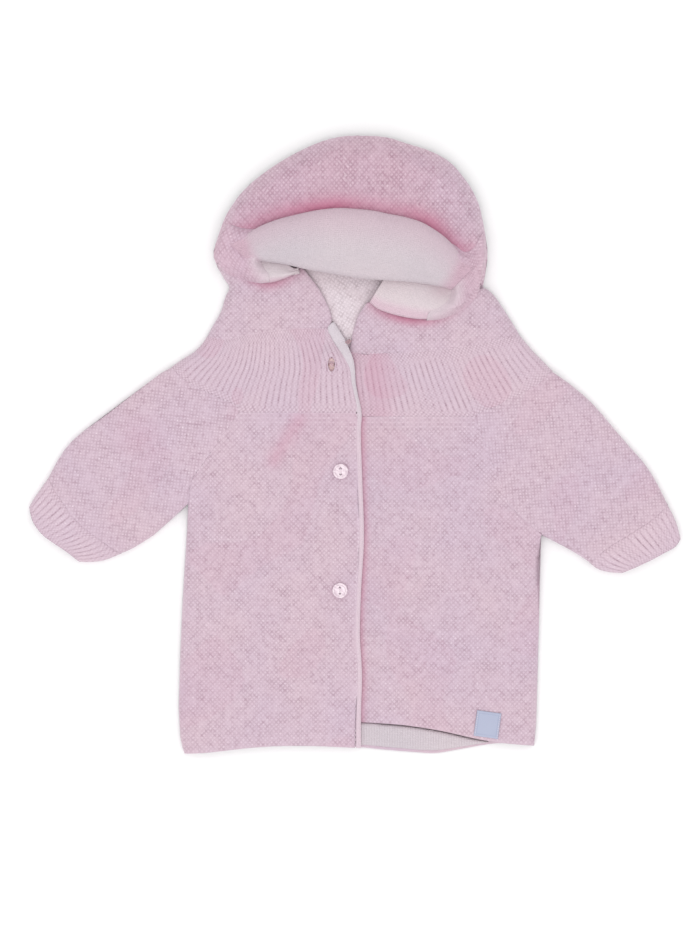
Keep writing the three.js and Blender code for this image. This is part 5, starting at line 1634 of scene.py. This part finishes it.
@dataclass
class Buttons:
    """Pearly two-hole buttons with a raised rim and a dished face."""

    radius: float = 6.0
    height: float = 2.4
    hole: float = 0.9
    spacing: float = 4.4
    segments: int = 72
    slack: float = 1.9
    spots: tuple[tuple[str, float, float], ...] = (("middle", -11.2, -20.6), ("lower", -11.7, -113.1))

    def _disc(self, name: str, x: float, y: float, low: float, turn: float = 0.0) -> Piece:
        """Turned disc with its two holes bored.

        Args:
            name: the button's name.
            x: place across.
            y: place up.
            low: height of its back.
            turn: angle of its pair of holes from the placket's line, in degrees.

        Returns:
            The button.
        """
        r, h = self.radius, self.height
        rows = smooth(line(
            (0.01, 0), (r - 1.6, 0.05), (r - 0.5, 0.5), (r, 1.3), (r - 0.25, h - 0.35), (r - 0.75, h), (r - 1.3,
                                                                                                        h - 0.12),
            (r - 1.9, h - 0.62), (r - 3.2, h - 0.78), (0.01, h - 0.7),
        ), 44)
        body = bmesh.new()
        rings = []
        for radius, z in rows:
            ring = []
            for k in range(self.segments):
                angle = 2 * math.pi * k / self.segments
                ring.append(body.verts.new((radius * math.cos(angle), radius * math.sin(angle), z)))
            rings.append(ring)
        for lower, upper in zip(rings, rings[1:]):
            for k in range(self.segments):
                n = (k + 1) % self.segments
                body.faces.new((lower[k], lower[n], upper[n], upper[k]))
        body.faces.new(rings[0][::-1])
        body.faces.new(rings[-1])
        disc = self._object(name, body)
        for side in (-1, 1):
            bore = bmesh.new()
            bmesh.ops.create_cone(bore, cap_ends=True, segments=28, radius1=self.hole, radius2=self.hole, depth=9)
            reach, angle = side * self.spacing / 2, math.radians(turn)
            bmesh.ops.translate(bore, verts=bore.verts, vec=(reach * math.sin(angle), reach * math.cos(angle), 0))
            tool = self._object("bore_tool", bore)
            cutter = disc.modifiers.new("bore", "BOOLEAN")
            cutter.operation, cutter.solver, cutter.object = "DIFFERENCE", "EXACT", tool
            make_plain(disc)
            bpy.data.objects.remove(tool)
        for vert in disc.data.vertices:
            vert.co = ((vert.co[0] + x) * MM, (vert.co[1] + y) * MM, (vert.co[2] + low) * MM)
        disc.data.set_sharp_from_angle(angle=math.radians(40))
        return disc

    @staticmethod
    def _object(name: str, body: bmesh.types.BMesh) -> Piece:
        """Object from a bmesh, with smooth faces."""
        bmesh.ops.recalc_face_normals(body, faces=body.faces)
        mesh = bpy.data.meshes.new(name)
        body.to_mesh(mesh)
        body.free()
        mesh.shade_smooth()
        return placed(name, mesh)

    def make(self, pearl: Material, rosy: Material, thread: Material,
             stitches: "Stitches") -> None:
        """Builds the buttons and sews on the two that show."""
        for place, x, y in self.spots:
            low = float(overlap_top(np.array(x), np.array(y))) + 2 * GAP
            disc = self._disc(f"pearl_{place}", x, y, low)
            disc.data.materials.append(pearl)
            dress(disc, pearl, "pearl_button", f"button_{place}")
            self._sew(place, (x, y, low), 0.0, 0.2, thread, stitches)
        # The top button under the overlap, seen through the buttonhole, and its threads wear the pearl in painted
        # shade, darker and rosier.
        x, y = TOP_BUTTON
        low = float(underlap_top(np.array(x), np.array(y))) + GAP + self.slack
        disc = self._disc("pearl_top", x, y, low, 90.0)
        dress(disc, rosy, "pearl_button", "button_top")
        self._sew("top", (x, y, low), 90.0, 0.36, rosy, stitches)

    def _sew(self, place: str, spot: tuple[float, float, float], turn: float, thick: float,
             thread: Material, stitches: "Stitches") -> None:
        """Sews a button on with three strands of thread between its holes."""
        reach = self.spacing / 2 + 1.25 * thick
        c, s = math.cos(math.radians(turn)), math.sin(math.radians(turn))
        x, y, face = spot[0], spot[1], spot[2] + self.height - 0.55
        for k, shift in enumerate((-1.6 * thick, 0.0, 1.6 * thick)):
            rows = ((-reach, -0.7), (-0.7 * reach, 0.0), (0.0, 0.12), (0.7 * reach, 0.0), (reach, -0.7))
            strand = line(*((x + shift * c + along * s, y + along * c - shift * s, face + rise) for along,
                            rise in rows))
            stitches.cord(f"button_thread_{place}_{k}", strand, thick, thread)


@dataclass
class Label:
    """Woven side label with a plain border, sewn down at its two sides."""

    centre: tuple[float, float] = (102.9, -217.2)
    width: float = 19.0
    length: float = 20.0
    turn: float = -8.0
    thickness: float = 0.7

    def _spot(self, across: Array, up: Array) -> tuple[Array, Array]:
        """Place of a point of the label."""
        c, s = math.cos(math.radians(self.turn)), math.sin(math.radians(self.turn))
        return self.centre[0] + across * c - up * s, self.centre[1] + across * s + up * c

    def cloth(self) -> Cloth:
        """Builds the label's form."""
        across = (np.linspace(-0.5, 0.5, 39) * self.width)[None]
        up = (np.linspace(-0.5, 0.5, 41) * self.length)[:, None]
        x, y = self._spot(across + 0 * up, up + 0 * across)
        side = np.minimum(self.width / 2 - np.abs(across), self.length / 2 - np.abs(up))
        low = underlap_top(x, y) + 2 * GAP
        puff = 0.5 * np.cos(math.pi * up / self.length) * np.cos(math.pi * across / self.width)
        pull = 0.12 * np.cos(2 * math.pi * up / 3.4) * np.exp(-((self.width / 2 - np.abs(across)) / 1.2))
        top = low + self.thickness + puff + pull - 0.35 * (1 - rounding(side, 0.8))
        grain = np.stack([across + 0 * up, up + 0 * across], axis=-1)
        return Cloth("hem_label_cloth", stack(x, y, top), stack(x, y, low + 0.5 * puff), np.zeros(x.shape),
                     grain=grain)

    def make(self, satin: Material, thread: Material, stitches: "Stitches") -> None:
        """Builds the label and its side stitches."""
        lay(self.cloth(), satin, "woven_label")
        for k, side in enumerate((-1, 1)):
            up = np.linspace(-0.44, 0.44, 40) * self.length
            x, y = self._spot(side * (self.width / 2 - 0.9) + 0 * up, up)
            z = underlap_top(x, y) + 2 * GAP + self.thickness + 0.12
            stitches.row(f"label_stitches_{k}", np.stack([x, y, z], axis=-1), thread, 1.7, 1.1, 0.16)


@dataclass
class Stitches:
    """Sewing: rows of short stitches along a line, and single strands."""

    tree: bpy.types.NodeTree | None = None

    def _tree(self) -> bpy.types.NodeTree:
        """Builds the tree that repeats a stitch along a line."""
        if self.tree:
            return self.tree
        tree = bpy.data.node_groups.new("stitch row", "GeometryNodeTree")
        tree.interface.new_socket("Line", in_out="INPUT", socket_type="NodeSocketGeometry")
        for name in ("Spacing", "Length", "Radius", "Tilt"):
            tree.interface.new_socket(name, in_out="INPUT", socket_type="NodeSocketFloat")
        tree.interface.new_socket("Finish", in_out="INPUT", socket_type="NodeSocketMaterial")
        tree.interface.new_socket("Stitches", in_out="OUTPUT", socket_type="NodeSocketGeometry")
        kinds = {
            "enter": "NodeGroupInput", "leave": "NodeGroupOutput", "curve": "GeometryNodeMeshToCurve",
            "points": "GeometryNodeCurveToPoints", "ball": "GeometryNodeMeshUVSphere", "size": "ShaderNodeCombineXYZ",
            "tilt": "ShaderNodeCombineXYZ", "lean": "FunctionNodeRotateRotation",
            "turned": "FunctionNodeEulerToRotation", "place": "GeometryNodeInstanceOnPoints",
            "real": "GeometryNodeRealizeInstances",
            "finish": "GeometryNodeSetMaterial", "smoothed": "GeometryNodeSetShadeSmooth",
        }
        nodes = {name: tree.nodes.new(kind) for name, kind in kinds.items()}
        nodes["points"].mode = "LENGTH"
        nodes["lean"].rotation_space = "LOCAL"
        for name, value in (("Segments", 8), ("Rings", 6), ("Radius", 1.0)):
            nodes["ball"].inputs[name].default_value = value
        for source, out, target, into in (
            ("enter", "Line", "curve", 0), ("curve", 0, "points", "Curve"), ("enter", "Spacing", "points", "Length"),
            ("enter", "Tilt", "tilt", 0), ("tilt", 0, "turned", 0), ("points", "Rotation", "lean", "Rotation"),
            ("turned", 0, "lean", "Rotate By"), ("enter", "Radius", "size", 0), ("enter", "Radius", "size", 1),
            ("enter", "Length", "size", 2), ("points", "Points", "place", "Points"), ("ball", "Mesh", "place",
                                                                                      "Instance"),
            ("lean", 0, "place", "Rotation"), ("size", 0, "place", "Scale"), ("place", 0, "real", 0),
            ("real", 0, "smoothed", 0), ("smoothed", 0, "finish", "Geometry"), ("enter", "Finish", "finish",
                                                                                "Material"),
            ("finish", 0, "leave", 0),
        ):
            tree.links.new(nodes[source].outputs[out], nodes[target].inputs[into])
        self.tree = tree
        return tree

    def row(self, name: str, path: Array, thread: Material, spacing: float, length: float,
            radius: float, tilt: float = 0.0) -> Piece:
        """Lays stitches along a line."""
        mesh = bpy.data.meshes.new(name)
        mesh.from_pydata((path * MM).tolist(), [(k, k + 1) for k in range(len(path) - 1)], [])
        made = placed(name, mesh)
        tree = self._tree()
        modifier = made.modifiers.new("stitches", "NODES")
        modifier.node_group = tree
        names = {item.name: item.identifier for item in tree.interface.items_tree if item.in_out == "INPUT"}
        modifier[names["Spacing"]] = spacing * MM
        modifier[names["Length"]] = length / 2 * MM
        modifier[names["Radius"]] = radius * MM
        modifier[names["Tilt"]] = math.radians(tilt)
        modifier[names["Finish"]] = thread
        make_plain(made)
        return dress(made, thread, "pink_knit")

    def cord(self, name: str, path: Array, radius: float, thread: Material) -> Piece:
        """Single strand of thread along a path.

        Args:
            name: the strand's name.
            path: its points, in millimetres.
            radius: its radius.
            thread: its finish.

        Returns:
            The strand's object.
        """
        spine = walk(smooth(path, 18), np.linspace(0, 1, 15))
        step = np.gradient(spine, axis=0)
        step /= np.linalg.norm(step, axis=1)[:, None]
        side = np.cross(step, [0.3, 0.2, 1.0])
        side /= np.linalg.norm(side, axis=1)[:, None]
        rise = np.cross(step, side)
        angles = np.linspace(0, 2 * math.pi, 9)[:-1]
        thin = np.sin(np.linspace(0.2, math.pi - 0.2, 15)) ** 0.3
        ring = np.cos(angles)[None, :, None] * side[:, None] + np.sin(angles)[None, :, None] * rise[:, None]
        points = (spine[:, None] + radius * thin[:, None, None] * ring).reshape(-1, 3) * MM
        faces = [
            (i * 8 + k, i * 8 + (k + 1) % 8, (i + 1) * 8 + (k + 1) % 8, (i + 1) * 8 + k)
            for i in range(14) for k in range(8)
        ]
        faces += [tuple(range(8))[::-1], tuple(range(112, 120))]
        body = bmesh.new()
        verts = [body.verts.new(p) for p in points]
        for face in faces:
            body.faces.new([verts[k] for k in face])
        made = Buttons._object(name, body)
        return dress(made, thread, "pearl_button")

    def make(self, seam: Material, pale: Material, knot: Material) -> None:
        """Sews the armholes, the yoke seams, the facing, the buttonhole and the tip of the neck opening."""
        for side, way in (("right", -1), ("left", 1)):
            path = smooth(ARMHOLE[side][::8], 160)
            upper = smooth((SLEEVE_RIGHT if side == "right" else SLEEVE_LEFT)["upper"], 60)
            fold = distance_to(upper, path[:, 0], path[:, 1])
            z = FRONT_TOP - 0.95 + fold_relief(path[:, 0], path[:, 1]) - 4.2 * (1 - rounding(fold, 6))
            keep = slice(6, 142)
            self.row(f"armhole_seam_{side}", np.column_stack([path, z])[keep], seam, 2.5, 2.0, 0.4, 28.0 * way)
        for side, path in (("right", smooth(YOKE_LINE_RIGHT, 60)), ("left", smooth(YOKE_LINE_LEFT[1:], 60))):
            height = overlap_top(path[:, 0], path[:, 1]) if side == "right" else underlap_top(path[:, 0], path[:, 1])
            part = path[:, 0] > 8 if side == "left" else path[:, 0] < 0
            self.row(f"yoke_seam_{side}", np.column_stack([path, height - 0.95])[part], seam, 2.5, 1.9, 0.36, 0.0)
        inside = beside(FACING_INSIDE[4:-8], 0.2)
        height = overlap_top(inside[:, 0], inside[:, 1]) - 0.25
        self.row("facing_stitches", np.column_stack([inside, height]), pale, 3.4, 2.2, 0.24)
        angle = np.linspace(0, 2 * math.pi, 70)
        x, y = TOP_BUTTON[0] + 3.7 * np.cos(angle), TOP_BUTTON[1] + 9.0 * np.sin(angle)
        self.row("buttonhole_stitches", np.column_stack([x, y, overlap_top(x, y) - 0.1]), seam, 1.3, 1.2, 0.36, 70.0)
        for k, (dx, dy) in enumerate(((-1.2, 0.4), (0.2, -0.6), (1.1, 0.7), (0.0, 1.4))):
            x, y = -5.2 + dx, 79.4 + dy
            strand = line((x - 1.4, y - 1.0, 9.4), (x - 0.5, y, 10.6), (x + 0.5, y + 0.4, 10.7),
                          (x + 1.3, y + 1.2, 9.6))
            self.cord(f"neck_knot_{k}", strand, 0.62, knot)


class View(Enum):
    """Plain numbers of the photograph's frame, in metres."""

    FIELD = 0.546
    DISTANCE = 2.2
    SENSOR = 36.0


@dataclass
class Studio:
    """Pale floor, soft light from all round and the camera straight above."""

    centre: tuple[float, float] = (-0.0039, -0.0168)

    def _floor(self) -> None:
        """Plain pale floor."""
        bpy.ops.mesh.primitive_plane_add(size=9, location=(0, 0, -0.0004))
        floor = bpy.context.object
        floor.name = "studio_floor"
        b = Bench("pale floor", 0.9, Specular_IOR_Level=0.1)
        b.colour(b.blend(b.span(b.noise(3, 2), 0.3, 0.7), paint(250, 250, 250), paint(247, 247, 247)))
        floor.data.materials.append(b.material)

    def _light(self, name: str, spot: tuple[float, float, float], size: float, power: float) -> None:
        """Square soft light that faces the garment."""
        data = bpy.data.lights.new(name, "AREA")
        data.shape, data.size, data.energy = "SQUARE", size, power
        light = placed(name, data)
        light.location = spot
        light.rotation_euler = (-light.location).to_track_quat("-Z", "Y").to_euler()

    def make(self) -> None:
        """Sets floor, lights, world, camera and colour management."""
        scene = bpy.context.scene
        self._floor()
        self._light("key", (-0.25, -0.9, 2.2), 1.9, 17)
        self._light("fill", (0.7, 1.0, 2.2), 2.0, 5)
        world = bpy.data.worlds.new("soft daylight")
        world.use_nodes = True
        world.node_tree.nodes["Background"].inputs[0].default_value = (1, 1, 1, 1)
        world.node_tree.nodes["Background"].inputs[1].default_value = 0.9
        scene.world = world
        scene.view_settings.view_transform = "Standard"
        data = bpy.data.cameras.new("photo camera")
        data.type, data.sensor_fit, data.sensor_width = "PERSP", "HORIZONTAL", View.SENSOR.value
        data.lens = View.SENSOR.value * View.DISTANCE.value / View.FIELD.value
        data.clip_end = 20
        camera = placed("photo camera", data)
        camera.location = (*self.centre, View.DISTANCE.value)
        scene.camera = camera


def main() -> None:
    """Builds the cardigan piece by piece, then the studio."""
    logging.basicConfig(level=logging.INFO, format="%(name)s %(message)s")
    pink, rib, lining = PINK.material(), RIB.material(), LINING.material()
    lining_knit, facing = LINING_MOSS_PAINTED_LIGHTER.material(), FACING.material()
    pearl, rosy, satin = PEARL.material(), SHADED_PEARL.material(), SATIN.material()
    seam, thread, knot = PINK_THREAD.material(), PALE_THREAD.material(), BROWN_THREAD.material()
    stitches = Stitches()
    Backs().make(pink, rib)
    Linings().make(lining_knit, lining)
    Fronts().make(pink)
    Yokes().make(rib)
    Placket().make(facing)
    Sleeves().make(pink, rib)
    Hood().make(pink, lining, LIP_LINING_PAINTED_LIGHTER.material())
    Buttons().make(pearl, rosy, thread, stitches)
    Label().make(satin, thread, stitches)
    stitches.make(seam, thread, knot)
    Studio().make()


if __name__ == "__main__":
    main()
